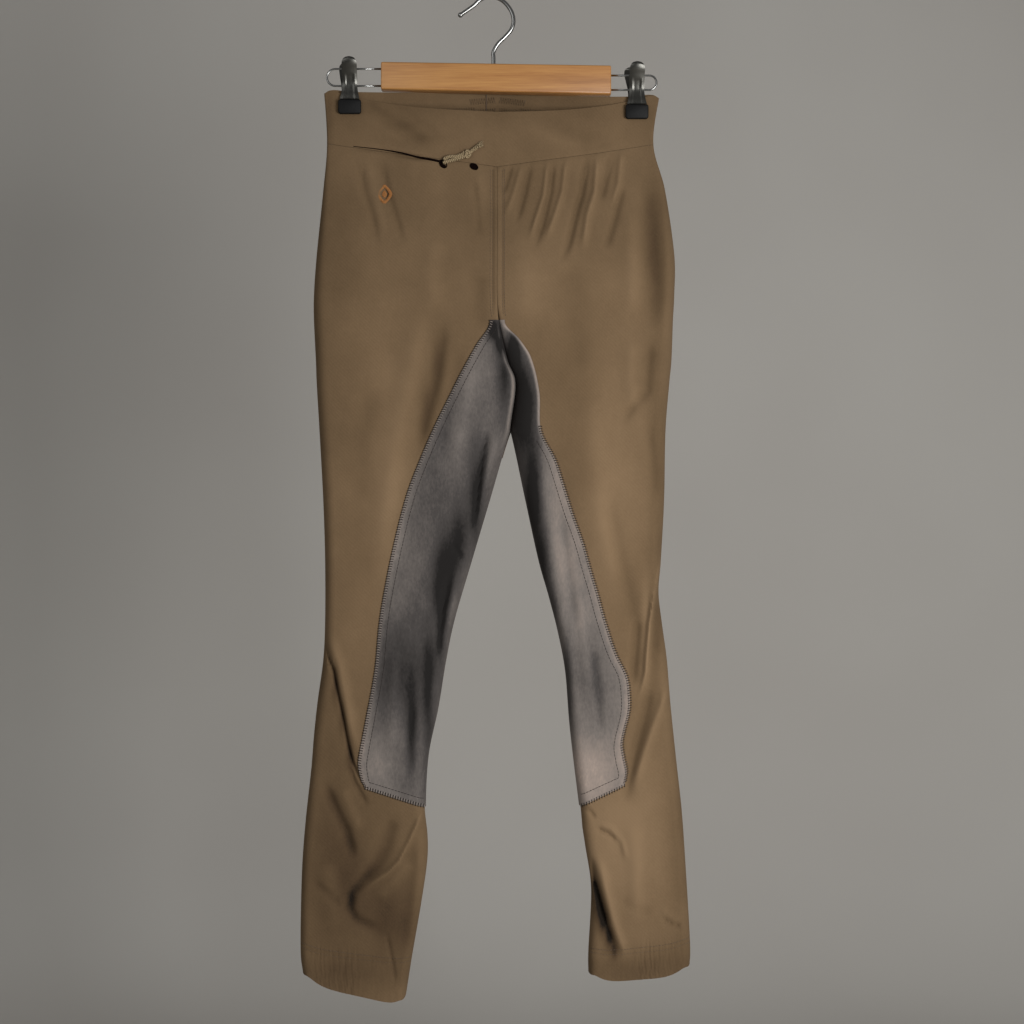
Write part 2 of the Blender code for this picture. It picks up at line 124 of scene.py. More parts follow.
# Folds of each face: (width, height, path of (x, z)). Width is how far from its line a fold has fallen
# to a third, height is out of the cloth, or into it where negative.
FOLDS = {
    "front": (
        # Gathers under the band, left of the centre seam: troughs, then the ridges between them.
        (2.6, -2.2, ((23, -184), (19, -197), (14, -214))),
        (3.4, -2.5, ((43, -182), (37, -212), (28, -246))),
        (3.2, -2.8, ((68, -179), (65, -210), (57, -244), (47, -276))),
        (3.8, -3.8, ((104, -174), (99, -210), (93, -231), (84, -268), (75, -290))),
        (3.6, -2.4, ((130, -171), (124, -199), (119, -222))),
        (4.2, -2.6, ((142, -205), (133, -242), (123, -276))),
        (3.2, 2.2, ((34, -184), (25, -215), (16, -238))),
        (3.0, 2.8, ((62, -180), (58, -215), (49, -242), (42, -266))),
        (3.2, 2.8, ((82, -177), (78, -210), (70, -236), (59, -266))),
        (3.8, 3.6, ((116, -172), (113, -210), (105, -236), (99, -278))),
        (3.6, 2.4, ((142, -168), (138, -204), (131, -228))),
        (9.0, -3.2, ((168, -205), (175, -274), (178, -317), (176, -370))),
        (9.0, 2.2, ((150, -230), (152, -290), (150, -350))),
        # Soft falls from the right clip, and across the band.
        (3.6, -1.8, ((-142, -176), (-135, -210), (-127, -236), (-119, -270))),
        (3.8, -2.0, ((-117, -178), (-113, -197), (-105, -226), (-98, -248), (-92, -270))),
        (5.0, 1.2, ((-132, -176), (-124, -210), (-112, -262))),
        (5.0, -1.8, ((-134, -110), (-114, -124), (-96, -137), (-64, -162))),
        (4.4, -1.2, ((-104, -112), (-78, -132), (-52, -150))),
        (5.0, 1.3, ((-140, -124), (-112, -143), (-92, -156))),
        (6.0, 1.0, ((-116, -106), (-88, -126), (-62, -146))),
        (7.0, -1.2, ((52, -128), (86, -146), (124, -152))),
        (7.0, 1.1, ((40, -140), (72, -154), (104, -160))),
        # The dark roll of the band's seam on the right.
        (1.7, -3.4, ((-147, -163), (-120, -166), (-96, -170), (-60, -177))),
        (3.0, 1.2, ((-140, -157), (-112, -160), (-80, -167), (-58, -171))),
        # Long soft folds of hip and thigh.
        (6.0, -3.2, ((-50, -355), (-57, -408), (-64, -435), (-71, -461), (-79, -492))),
        (14, 3.4, ((-72, -340), (-91, -435), (-102, -488), (-112, -563), (-120, -650))),
        (12, -1.8, ((-128, -420), (-138, -480), (-140, -560))),
        (9, -2.4, ((-12, -300), (-12, -330), (-8, -362))),
        (11, 1.8, ((-60, -262), (-62, -300), (-58, -348))),
        (6, 1.2, ((-12, -190), (-11, -220), (-12, -254))),
        (4, -1.2, ((-17, -200), (-13, -232), (-12, -262))),
        (5.5, -2.6, ((172, -372), (168, -424), (150, -445), (138, -466))),
        (8, 2.0, ((152, -372), (150, -415), (158, -450))),
        (15, 2.8, ((112, -430), (113, -500), (120, -570), (140, -640))),
        (8, -2.6, ((126, -540), (138, -600), (150, -650), (156, -690))),
        (6, -1.6, ((168, -460), (176, -500), (180, -540))),
        (16, 2.0, ((30, -250), (36, -300), (40, -360))),
        (16, -1.8, ((84, -290), (90, -350), (92, -410))),
        # Right leg: the sharp fold beside the patch's foot and the falls under it.
        (1.7, -5.2, ((-177, -696), (-172, -713), (-167, -725), (-165, -737), (-160, -761),
                     (-156, -780), (-152, -804), (-147, -824), (-141, -838), (-134, -850))),
        (5.5, 3.6, ((-170, -690), (-160, -722), (-153, -760), (-147, -790), (-139, -822))),
        (3.0, -2.6, ((-150, -826), (-146, -844), (-138, -858), (-130, -872))),
        (5.0, -4.4, ((-176, -850), (-163, -879), (-154, -897), (-149, -914), (-146, -932))),
        (7.0, 2.4, ((-158, -850), (-148, -876), (-138, -900))),
        (7.0, -3.6, ((-104, -884), (-112, -914), (-122, -934), (-137, -952))),
        (4.6, -3.9, ((-124, -938), (-137, -950), (-148, -965), (-150, -980), (-144, -991),
                     (-130, -998), (-112, -1004))),
        (2.5, 3.3, ((-70, -872), (-77, -887), (-88, -911), (-98, -930), (-112, -943),
                    (-128, -954), (-140, -966))),
        (8.0, 2.4, ((-86, -930), (-104, -952), (-124, -972))),
        (4.0, -1.8, ((-188, -952), (-173, -965), (-160, -977))),
        (1.6, -2.2, ((-110, -1010), (-105, -1035), (-101, -1062))),
        (1.6, -1.2, ((-128, -1006), (-116, -1009), (-106, -1008))),
        (8.0, -2.6, ((-84, -912), (-87, -970), (-92, -1036))),
        (10, 2.0, ((-176, -930), (-170, -970), (-162, -1010))),
        # Left leg: the light ridge down to the knee and its troughs.
        (3.0, 4.2, ((186, -600), (177, -637), (171, -673), (168, -708), (167, -726),
                    (164, -740), (158, -760))),
        (5.0, -4.0, ((158, -670), (156, -702), (152, -745))),
        (5.0, -2.6, ((182, -650), (181, -680), (180, -712))),
        (6.0, -4.4, ((172, -742), (166, -772), (156, -810), (148, -850), (142, -874))),
        (5.0, 3.4, ((192, -740), (174, -788), (161, -826), (151, -856))),
        (2.0, -2.4, ((97, -872), (106, -874), (114, -884))),
        (2.0, -2.8, ((116, -895), (125, -899), (136, -907))),
        (3.0, 1.8, ((118, -889), (130, -894), (142, -908), (147, -930))),
        (2.2, -2.2, ((184, -990), (196, -997), (208, -1000))),
        (2.6, 1.4, ((184, -983), (196, -990), (208, -993))),
        (5.0, -1.4, ((140, -972), (156, -980), (176, -984))),
        (9.0, 2.4, ((150, -890), (156, -940), (158, -1000))),
        # Its deep fold over the hem, with the cloth standing out beside it.
        (2.6, -6.0, ((109, -928), (112, -948), (117, -966), (121, -984), (127, -1003),
                     (132, -1018), (140, -1030))),
        (3.4, -6.0, ((112, -950), (116, -966), (121, -984), (126, -1000))),
        (4.5, 4.0, ((118, -930), (126, -964), (134, -996), (143, -1022), (146, -1040))),
        # The inner leg's grooves, in the suede.
        (2.6, -4.2, ((-4, -470), (-8, -500), (-12, -524), (-16, -560), (-20, -580))),
        (4.0, 2.2, ((6, -470), (0, -505), (-6, -540), (-14, -585))),
        (2.2, -2.6, ((-39, -588), (-35, -596), (-26, -606))),
        (3.4, -4.2, ((-43, -625), (-50, -655), (-54, -690), (-54, -716))),
        (3.0, 2.4, ((-36, -640), (-43, -672), (-46, -706), (-49, -740))),
        (4.0, -2.8, ((-82, -760), (-85, -800), (-86, -838))),
        (6.0, 1.6, ((-100, -700), (-104, -760), (-106, -820))),
        (6.0, -1.6, ((-30, -380), (-44, -430), (-54, -500))),
        (7.0, 1.6, ((-18, -400), (-30, -450), (-40, -520))),
        (5.0, -1.8, ((76, -560), (84, -620), (92, -680))),
        (4.5, -2.0, ((110, -700), (116, -750), (118, -800))),
        (6.0, 1.4, ((94, -640), (102, -700), (106, -760))),
    ),
    # Behind, the same kinds of fold as in front.
    "back": (
        (8, -2.8, ((-60, -176), (-56, -220), (-48, -262))),
        (8, -2.6, ((74, -176), (70, -220), (60, -262))),
        (9, -2.2, ((-110, -172), (-112, -230), (-106, -300))),
        (9, -2.2, ((128, -172), (130, -230), (124, -300))),
        (14, 2.8, ((-84, -260), (-90, -330), (-92, -400))),
        (14, 2.8, ((98, -260), (106, -330), (108, -400))),
        (9, -2.0, ((-30, -430), (-48, -452), (-76, -466))),
        (9, -2.0, ((76, -430), (96, -452), (122, -466))),
        (8, -1.6, ((-34, -466), (-56, -486), (-84, -498))),
        (8, -1.6, ((70, -466), (92, -486), (120, -498))),
        (10, 2.6, ((-120, -420), (-124, -520), (-118, -620))),
        (10, 2.6, ((134, -420), (140, -520), (140, -620))),
        (5, -2.4, ((-168, -700), (-140, -716), (-112, -720))),
        (5, -2.0, ((-164, -736), (-136, -748), (-104, -748))),
        (5, 2.4, ((-160, -722), (-130, -732), (-100, -734))),
        (5, -2.4, ((180, -690), (152, -704), (124, -706))),
        (5, -2.0, ((182, -726), (156, -740), (126, -740))),
        (5, 2.4, ((176, -710), (146, -722), (120, -722))),
        (8, -3.4, ((-176, -800), (-160, -860), (-152, -930))),
        (8, -3.2, ((184, -800), (172, -860), (168, -930))),
        (8, 2.6, ((-120, -900), (-128, -960), (-140, -1020))),
        (8, 2.6, ((140, -900), (150, -960), (160, -1010))),
    ),
}
# Where a surface is darker (below 0) or paler (above 0) than the rest of it, as soft spots:
# (x, z, half width, half height, amount).
# The cloth's spots are painted light and shade, standing in for how the lamp falls and where shade gathers.
CLOTH_LIGHT_AND_SHADE = {
    "front": (
        # Painted shade at the right leg's calf and shin, along the hems, the outer edges and the band's
        # top; painted light over the hips, thighs and the left shin; a painted highlight on the left knee's
        # ridge with painted shade beside it.
        (-157, -955, 40, 110, -0.34), (-104, -985, 26, 62, -0.3), (-146, -1050, 60, 18, -0.16),
        (-176, -780, 18, 60, -0.14), (-172, -250, 30, 110, -0.1), (-148, -670, 26, 60, 0.1),
        (-110, -520, 36, 140, 0.14), (140, -520, 40, 190, 0.24), (180, -510, 9, 80, -0.2),
        (150, -900, 46, 90, 0.42), (206, -890, 12, 140, -0.16), (160, -1045, 70, 22, -0.26),
        (0, -112, 190, 22, -0.12), (178, -290, 12, 80, -0.22), (60, -320, 60, 50, 0.14),
        (167, -676, 5, 50, 0.3), (178, -690, 7, 50, -0.16),
        # Painted shade: the black of the narrow gap over the hem, and of the roll of the band's seam.
        (112, -958, 4.6, 15, -0.55), (116, -978, 5.6, 15, -0.65), (121, -996, 5.6, 14, -0.65),
        (128, -1012, 4.8, 12, -0.6), (134, -1025, 4.0, 9, -0.5),
        # Painted shade beside the patch, and at the shin's fold.
        (-56, -400, 7, 34, -0.2), (-68, -450, 7, 34, -0.2), (-165, -740, 4, 20, -0.3),
        (-158, -775, 4, 20, -0.3), (-150, -815, 4, 18, -0.3), (-149, -972, 4, 12, -0.08),
        # Painted shade on the band: in its long slanting hollow and along its dim outer edge.
        (-96, -138, 22, 6, -0.1), (-70, -152, 20, 6, -0.1), (-174, -130, 5, 40, -0.16),
        (-150, -130, 30, 24, -0.14)),
    "back": (
        # Painted shade at the calves and the band's top, and painted light over the thighs, as in front.
        (-150, -960, 60, 110, -0.3), (160, -940, 60, 110, -0.2), (0, -112, 190, 22, -0.1),
        (-110, -520, 50, 130, 0.2), (140, -520, 60, 160, 0.2)),
}
# The suede's spots: its wear, darker at the knees and paler at the feet, and painted shade at the fork,
# along the grooves and on the rolled inner edges.
SUEDE_WEAR_AND_SHADE = {
    "front_right": (
        # Painted shade at the fork and along the grooves and the inner edge, over the suede's own dark
        # there; the knee's dark and the foot's pale are wear.
        (-92, -722, 32, 50, -0.24), (-84, -775, 6, 50, -0.22), (-122, -826, 18, 36, 0.17),
        (4, -359, 8, 10, -0.6), (13, -374, 6, 10, -0.55), (-96, -866, 34, 10, 0.08),
        (-66, -752, 6, 60, -0.3), (-52, -640, 10, 60, -0.36), (-14, -540, 9, 56, -0.35),
        (-32, -580, 9, 34, -0.3), (-43, -612, 9, 34, -0.25), (-20, -400, 26, 40, 0.06),
        (16, -400, 8, 50, -0.3), (-96, -600, 14, 60, 0.08)),
    "front_left": (
        # The knee's dark and the foot's pale are wear; the dark spots down the rolled inner edge are
        # painted shade.
        (100, -735, 30, 46, -0.14), (108, -838, 26, 40, 0.2), (72, -580, 20, 90, 0.14),
        (38, -440, 22, 70, -0.4), (25, -384, 8, 28, -0.6), (34, -450, 9, 40, -0.3),
        (46, -540, 9, 50, -0.6), (56, -610, 9, 50, -0.5), (66, -680, 8, 50, -0.38),
        (82, -750, 6, 70, -0.25)),
    "back_right": (
        (-90, -735, 40, 74, -0.2), (-110, -826, 34, 40, 0.24), (-40, -380, 60, 80, 0.1),
        (-60, -500, 30, 60, -0.15)),
    "back_left": (
        (110, -735, 40, 64, -0.2), (120, -830, 34, 44, 0.3), (60, -380, 60, 80, 0.1),
        (90, -500, 30, 60, -0.15)),
}
CLOTH_BASE = 0.29    # tone of plain cloth
# Painted shade in the troughs of the folds and a painted highlight on their ridges, per millimetre of
# height.
RELIEF_SHADING = 0.045  # how much each millimetre of a fold's height adds to the tone
HEM_CORNER = (5.0, 0.36)  # width in millimetres and depth, in bows, of a hem's end
SEAM_RIDGE = 0.9    # the centre front seam stands this far out, with a stitched dip at each side
SEAM_HALF = 3.6


def curve(knots, values, t):
    """Smooth line through (knot, value) pairs, read at every t."""
    knots, values = np.asarray(knots, float), np.asarray(values, float)
    t = np.clip(np.asarray(t, float), knots[0], knots[-1])
    last = len(knots) - 1
    ends = [(max(j - 1, 0), min(j + 1, last)) for j in range(last + 1)]
    slope = np.array([(values[b] - values[a]) / (knots[b] - knots[a]) for a, b in ends])
    i = np.clip(np.searchsorted(knots, t, side="left") - 1, 0, last - 1)
    h = knots[i + 1] - knots[i]
    s = (t - knots[i]) / h
    return ((1 + 2 * s) * (1 - s) ** 2 * values[i] + s * (1 - s) ** 2 * h * slope[i]
            + s * s * (3 - 2 * s) * values[i + 1] + s * s * (s - 1) * h * slope[i + 1])


def ease(t):
    t = np.clip(t, 0.0, 1.0)
    return t * t * (3 - 2 * t)


def tones(spots, x, z):
    """Sum of soft spots at every (x, z)."""
    total = np.zeros(x.shape)
    for cx, cz, half_w, half_h, amount in spots:
        total += amount * np.exp(-((x - cx) / half_w) ** 2 - ((z - cz) / half_h) ** 2)
    return total


def along(path, x, z):
    """Distance of every point from a path, and how far along it the nearest place is, 0 to 1."""
    path = np.asarray(path, float)
    lengths = np.hypot(*(path[1:] - path[:-1]).T)
    best = np.full(x.shape, 1e9)
    where = np.zeros(x.shape)
    done = 0.0
    for a, b, size in zip(path[:-1], path[1:], lengths):
        step = (b - a) / size
        t = np.clip((x - a[0]) * step[0] + (z - a[1]) * step[1], 0, size)
        d = np.hypot(x - a[0] - t * step[0], z - a[1] - t * step[1])
        near = d < best
        best = np.where(near, d, best)
        where = np.where(near, (done + t) / lengths.sum(), where)
        done += size
    return best, where


def folds(face, x, z):
    """How far the cloth stands out at every (x, z) of one face."""
    out = np.zeros(x.shape)
    for width, height, path in FOLDS[face]:
        xs, zs = [p[0] for p in path], [p[1] for p in path]
        reach = 3.2 * width
        near = ((x > min(xs) - reach) & (x < max(xs) + reach)
                & (z > min(zs) - reach) & (z < max(zs) + reach))
        if not near.any():
            continue
        d, t = along(path, x[near], z[near])
        fade = ease(0.3 + t / 0.2) * ease((1 - t) / 0.25)
        out[near] += height * fade * np.exp(-(d / width) ** 2)
    # The cloth is never quite flat: slow waves, longer down the leg than across it.
    out += 0.35 * np.sin(x / 17 + 0.6 * np.sin(z / 61)) * np.sin(z / 83 + x / 47)
    out += 0.16 * np.sin(x / 7.3 + z / 39) * np.sin(z / 23 - x / 31)
    return out


def sections(leg, face, down):
    """The sizes of a leg's face at every level of down, each as a column."""
    v = np.asarray(down, float)[:, None]
    table = RIGHT if leg == "right" else LEFT
    knots = list(range(len(table)))
    r = {name: curve(knots, [line[i] for line in table], v) for i, name in enumerate(COLUMNS)}
    upper = curve(knots[:FORK + 1], [line[2] for line in table[:FORK + 1]], v)
    lower = curve(knots[FORK:], [line[2] for line in table[FORK:]], v)
    r["in_x"] = np.where(v <= FORK, upper, lower)
    r["v"], r["leg"], r["face"] = v, leg, face
    r["way"] = 1 if leg == "right" else -1
    r["deep"] = r[face]
    r["inner_z"] = r["in_z"] if face == "front" else r["back_z"]
    r["tuck"] = np.clip(r["tuck_f"] if face == "front" else r["tuck_b"], 0, 1)
    r["fork"] = -r["fork_y"] if face == "front" else r["fork_y"]
    r["turned"] = ease(r["tuck"] * 2.5)
    r["width"] = (r["in_x"] - r["out_x"]) * r["way"] - GAP
    r["sag"] = TOP_SAG[face + "_" + leg] * (1 - ease(v))
    r["bow"] = HEM_BOW * ease((v - HEM_LINE + 1) / 2)
    edge = EDGES[face + "_" + leg]
    s = 0.5 * r["width"]
    for _ in range(8):
        s = (curve([e[0] for e in edge], [e[1] for e in edge], -height(r, s)) - r["out_x"]) * r["way"]
    r["edge"] = np.clip(s, r["out_roll"] + 4, r["width"] - 3)
    r["in_roll"] = np.minimum(r["in_roll"], 0.8 * (r["width"] - r["edge"]))
    r["under"] = (LIFT + SUEDE) * (1 - ease((v - PATCH_FOOT) / 0.6))
    return r


def height(r, s):
    u = s / r["width"]
    near = np.clip(u, 0, 1)
    # The right leg's inner hem is the squarest, both hems end in small corners, and the band's upper
    # corners are round.
    power = np.where(near < 0.5, 4.0, 8.0 if r["leg"] == "right" else 4.6)
    hem_end = np.exp(-(r["width"] * (0.5 - np.abs(near - 0.5)) / HEM_CORNER[0]) ** 2)
    corner = (1 - ease(r["v"] / 0.3)) * (3.0 * np.exp(-(s / 3.0) ** 2) - 1.6 * np.exp(-((s - 12) / 9) ** 2))
    return (r["out_z"] + (r["inner_z"] - r["out_z"]) * u - r["sag"] * np.sin(math.pi * near)
            - r["bow"] * (1 - np.abs(2 * near - 1) ** power + HEM_CORNER[1] * hem_end) - corner)


def spread(r, across, off):
    """Distances from the side seam of the grid's columns, at every level."""
    zone = np.array([a[0] for a in across])[None, :]
    share = np.array([a[1] for a in across])[None, :]
    arc = share * math.pi / 2
    s_end = r["width"] + (off - r["under"]) * r["turned"]
    turn_in = -off + (r["out_roll"] + off) * (1 - np.cos(arc))
    to_edge = r["out_roll"] + (r["edge"] - r["out_roll"]) * share
    under = r["edge"] + (r["width"] - r["in_roll"] - r["edge"]) * share
    to_seam = s_end - (s_end - r["width"] + r["in_roll"]) * (1 - np.sin(arc))
    return np.where(zone == 0, turn_in, np.where(zone == 1, to_edge, np.where(zone == 2, under, to_seam)))


def lay(r, s, off):
    """Points of a face at distances s from the side seam, off millimetres out of the cloth."""
    x = r["out_x"] + r["way"] * s
    z = height(r, s)
    pinch = np.cos(math.pi / 2 * np.minimum(1, np.abs(x - BAND_MID) / BAND_HALF)) ** 2
    pinch = CLIP_DEPTH + (BAND_OPEN - CLIP_DEPTH) * pinch
    near_band = 1 - ease((r["v"] - 0.6) / 2.6)
    # Folds die out where the clips hold the band and towards its top edge.
    free = ease((pinch - CLIP_DEPTH) / 3 + (r["v"] - 0.35) / 0.5) * (0.35 + 0.65 * ease(r["v"] / 1.2))
    relief = folds(r["face"], x, z) * free
    if r["face"] == "front":
        near = np.abs(x - r["in_x"])
        seam = ease((r["v"] - 1.0) / 0.1) * (1 - ease((r["v"] - 4.2) / 0.8))
        relief = relief + seam * SEAM_RIDGE * (np.exp(-(near / SEAM_HALF) ** 4)
                                               - 0.7 * np.exp(-((near - 5.4) / 1.3) ** 2))
    # A dip at the band's seam, and a pucker along the hem's stitches.
    for line, dip, wide in ((1.0, 0.7, 0.03), (float(HEM_LINE), 0.8, 0.06)):
        relief = relief - dip * np.exp(-((r["v"] - line) / wide) ** 2)
    hem = ease((r["v"] - HEM_LINE + 0.25) / 0.2)
    pucker = (np.sin(1.1 * x + 2.0 * np.sin(x / 7) + 0.9 * np.sin(9 * r["v"] + x / 5))
              + 0.7 * np.sin(0.47 * x + 5 * r["v"]) + 0.5 * np.sin(1.9 * x - 7 * r["v"]))
    relief = relief + 0.22 * hem * pucker * (0.6 + 0.25 * np.sin(x / 13 + 1) + 0.15 * np.sin(x / 5.1))
    deep = near_band * pinch + (1 - near_band) * r["deep"]
    # A fold goes no deeper than the room before the other side of the leg.
    deep = deep + np.maximum(relief, np.minimum(2.2 - deep, 0.0) * 0.9)
    level = deep + off
    out_part = np.clip((r["out_roll"] - s) / (r["out_roll"] + off), 0, 1)
    rise = np.sqrt(1 - out_part ** 2)
    s_end = r["width"] + (off - r["under"]) * r["turned"]
    start = r["width"] - r["in_roll"]
    in_part = np.clip((s - start) / (s_end - start), 0, 1)
    fall = np.sqrt(1 - in_part ** 2)
    end = deep - r["tuck"] * (deep - r["fork"]) + off * (1 - r["turned"])
    y = np.where(s < r["out_roll"], level * rise, end + (level - end) * fall) + GAP
    return np.stack(np.broadcast_arrays(x, -y if r["face"] == "front" else y, z), axis=-1)


def colour(text):
    """sRGB hex to the linear values that a shader takes."""
    parts = [int(text[i:i + 2], 16) / 255 for i in (1, 3, 5)]
    return [c / 12.92 if c <= 0.04045 else ((c + 0.055) / 1.055) ** 2.4 for c in parts] + [1.0]


def feed(tree, node, **inputs):
    """Give a node's inputs their values or links. _ stands for a space, in2 for input number 2."""
    for key, value in inputs.items():
        name = key.replace("_", " ")
        socket = node.inputs[int(name[2:]) if name[:2] == "in" and name[2:].isdigit() else name]
        if isinstance(value, bpy.types.NodeSocket):
            tree.links.new(value, socket)
        else:
            socket.default_value = value


def add(tree, kind, settings=None, **inputs):
    """Add a node, with its settings and its inputs."""
    made = tree.nodes.new(kind)
    for key, value in (settings or {}).items():
        setattr(made, key, value)
    feed(tree, made, **inputs)
    return made


def blank(name):
    """A material with its output and shader, ready for the rest, and the piece's coordinates."""
    mat = bpy.data.materials.new(name)
    mat.use_nodes = True
    tree = mat.node_tree
    tree.nodes.clear()
    shader = add(tree, "ShaderNodeBsdfPrincipled")
    add(tree, "ShaderNodeOutputMaterial", Surface=shader.outputs[0])
    place = add(tree, "ShaderNodeTexCoord").outputs["Object"]
    return mat, tree, shader, place


def stretched(tree, place, x, y, z):
    """Coordinates in repeats per metre along each axis."""
    return add(tree, "ShaderNodeMapping", Vector=place, Scale=(x, y, z)).outputs[0]


def noise(tree, place, repeats, detail, rough=0.5):
    """Soft noise. repeats per metre is one number, or one for each axis."""
    if isinstance(repeats, tuple):
        place, repeats = stretched(tree, place, *repeats), 1.0
    return add(tree, "ShaderNodeTexNoise", Vector=place, Scale=repeats, Detail=detail,
               Roughness=rough).outputs[0]


def plus_share(tree, value, share, base):
    """base and a share of value."""
    return add(tree, "ShaderNodeMath", {"operation": "MULTIPLY_ADD"}, in0=value, in1=share,
               in2=base).outputs[0]


def slanting(tree, place, repeats, **more):
    """Slanting bands."""
    return add(tree, "ShaderNodeTexWave", {"bands_direction": "DIAGONAL"}, Vector=place, Scale=repeats,
               **more).outputs[1]


def ramp(tree, value, stops):
    made = add(tree, "ShaderNodeValToRGB", Fac=value)
    band = made.color_ramp
    while len(band.elements) < len(stops):
        band.elements.new(0.5)
    for element, (spot, hue) in zip(band.elements, stops):
        element.position, element.color = spot, colour(hue)
    return made.outputs[0]


def bumps(tree, height, strength, depth):
    """The surface's normal over fine relief, depth in metres."""
    return add(tree, "ShaderNodeBump", Strength=strength, Distance=depth, Height=height).outputs[0]


def cotton_twill():
    """Brushed cotton twill with elastane: matt, a little lighter where it catches the light along its
    nap, with a fine diagonal rib. The rib is 0.55 mm in life and drawn at 1.1 mm to show."""
    mat, tree, shader, place = blank("brushed_cotton_twill")
    # The tone attribute carries the painted light and shade of the spots and the folds over the plain
    # cloth.
    tone = add(tree, "ShaderNodeAttribute", {"attribute_name": "tone"}).outputs["Fac"]
    tone = plus_share(tree, noise(tree, place, (13, 13, 10), 5.0, 0.6), 0.5, tone)
    tone = plus_share(tree, noise(tree, place, (520, 520, 400), 3.0, 0.7), 0.2, tone)
    base = ramp(tree, tone, ((0.0, "#140e08"), (0.25, "#463625"), (0.5, "#5a4833"), (0.72, "#69553e"),
                             (1.0, "#7a644b")))
    rib = slanting(tree, stretched(tree, place, 150, 40, 150), 1.0, Distortion=0.8, Detail=1.0)
    grain = noise(tree, place, 1400.0, 2.0)
    relief = add(tree, "ShaderNodeMath", {"operation": "ADD"}, in0=rib, in1=grain).outputs[0]
    feed(tree, shader, Base_Color=base, Normal=bumps(tree, relief, 0.13, 0.0004), Roughness=0.92,
         Specular_IOR_Level=0.2, Sheen_Weight=0.08, Sheen_Roughness=0.5, Sheen_Tint=colour("#c9b08c"))
    return mat


def suede_grip():
    """Synthetic suede: no gloss, a short nap brushed darker and lighter in patches, dark with use at
    the knee and rubbed to a paler, pinker tone along its edges and foot."""
    mat, tree, shader, place = blank("synthetic_suede")
    # The tone attribute holds this wear, painted shade at the fork, in the grooves and on the rolled inner
    # edges, and a painted highlight along the rolled edges under the fork.
    tone = add(tree, "ShaderNodeAttribute", {"attribute_name": "tone"}).outputs["Fac"]
    tone = plus_share(tree, noise(tree, place, (36, 36, 18), 5.0, 0.62), 0.3, tone)
    tone = plus_share(tree, noise(tree, place, (460, 460, 220), 3.0, 0.65), 0.2, tone)
    base = ramp(tree, tone, ((0.25, "#1f1d1c"), (0.5, "#464240"), (0.72, "#6d6661"), (0.92, "#8d8077"),
                             (1.0, "#a39186")))
    pile = noise(tree, place, (1500, 1500, 700), 3.0, 0.7)
    feed(tree, shader, Base_Color=base, Normal=bumps(tree, pile, 0.35, 0.0003), Roughness=0.95,
         Specular_IOR_Level=0.15, Sheen_Weight=0.14, Sheen_Roughness=0.45, Sheen_Tint=colour("#b5a8a0"))
    return mat


def spun_thread(name, hue, gloss=0.5):
    """Spun polyester thread: a soft low gloss, with its twist as fine slanting ridges."""
    mat, tree, shader, place = blank(name)
    twist = bumps(tree, slanting(tree, place, 1500.0), 0.4, 0.0002)
    feed(tree, shader, Base_Color=colour(hue), Normal=twist, Roughness=0.7, Specular_IOR_Level=gloss,
         Sheen_Weight=0.2 * gloss)
    return mat


def braided_cotton():
    """Undyed cotton braid: pale strands with painted shade in the gaps between them, rubbed and dusty."""
    mat, tree, shader, place = blank("braided_cotton")
    strand = slanting(tree, stretched(tree, place, 420, 420, 420), 1.0, Distortion=1.5)
    spots = noise(tree, place, 900.0, 3.0)
    mix = add(tree, "ShaderNodeMath", {"operation": "MULTIPLY"}, in0=strand, in1=spots).outputs[0]
    base = ramp(tree, mix, ((0.0, "#54452f"), (0.25, "#95815f"), (0.55, "#b7a382")))
    feed(tree, shader, Base_Color=base, Normal=bumps(tree, strand, 0.7, 0.0005), Roughness=0.85)
    return mat


def lacquered_wood():
    """Pale hardwood under a satin lacquer: fine straight grain along the bar, slow warm bands."""
    mat, tree, shader, place = blank("lacquered_hardwood")
    slow = noise(tree, place, (7, 60, 90), 4.0, 0.6)
    fine = noise(tree, place, (26, 700, 1100), 3.0, 0.6)
    base = ramp(tree, plus_share(tree, fine, 0.5, slow),
                ((0.45, "#774b20"), (0.7, "#9a6937"), (0.95, "#ad7d45")))
    feed(tree, shader, Base_Color=base, Normal=bumps(tree, fine, 0.15, 0.0002), Roughness=0.42,
         Coat_Weight=0.25, Coat_Roughness=0.3)
    return mat


def plated_steel(name, hue, rough):
    """Chrome-plated steel: mirror-like, with faint drawing marks."""
    mat, tree, shader, place = blank(name)
    marks = noise(tree, place, (900, 900, 200), 2.0)
    change = add(tree, "ShaderNodeMapRange", Value=marks, To_Min=rough * 0.7, To_Max=rough * 1.4)
    feed(tree, shader, Base_Color=colour(hue), Metallic=1.0, Roughness=change.outputs[0])
    return mat


def black_rubber():
    """Dipped rubber: nearly black, soft gloss, slightly uneven skin."""
    mat, tree, shader, place = blank("dipped_rubber")
    skin = bumps(tree, noise(tree, place, 500.0, 3.0), 0.25, 0.0003)
    feed(tree, shader, Base_Color=colour("#060606"), Normal=skin, Roughness=0.6, Specular_IOR_Level=0.2)
    return mat


def painted_wall():
    """Matt wall paint, pale warm grey. From behind the wall is clear, for the views of the back."""
    mat, tree, shader, place = blank("matt_wall_paint")
    base = ramp(tree, noise(tree, place, 1.6, 2.0), ((0.3, "#b3afa9"), (0.7, "#bab7b1")))
    feed(tree, shader, Base_Color=base, Roughness=0.95)
    behind = add(tree, "ShaderNodeNewGeometry").outputs["Backfacing"]
    clear = add(tree, "ShaderNodeBsdfTransparent").outputs[0]
    both = add(tree, "ShaderNodeMixShader", in0=behind, in1=shader.outputs[0], in2=clear).outputs[0]
    feed(tree, tree.nodes["Material Output"], Surface=both)
    return mat


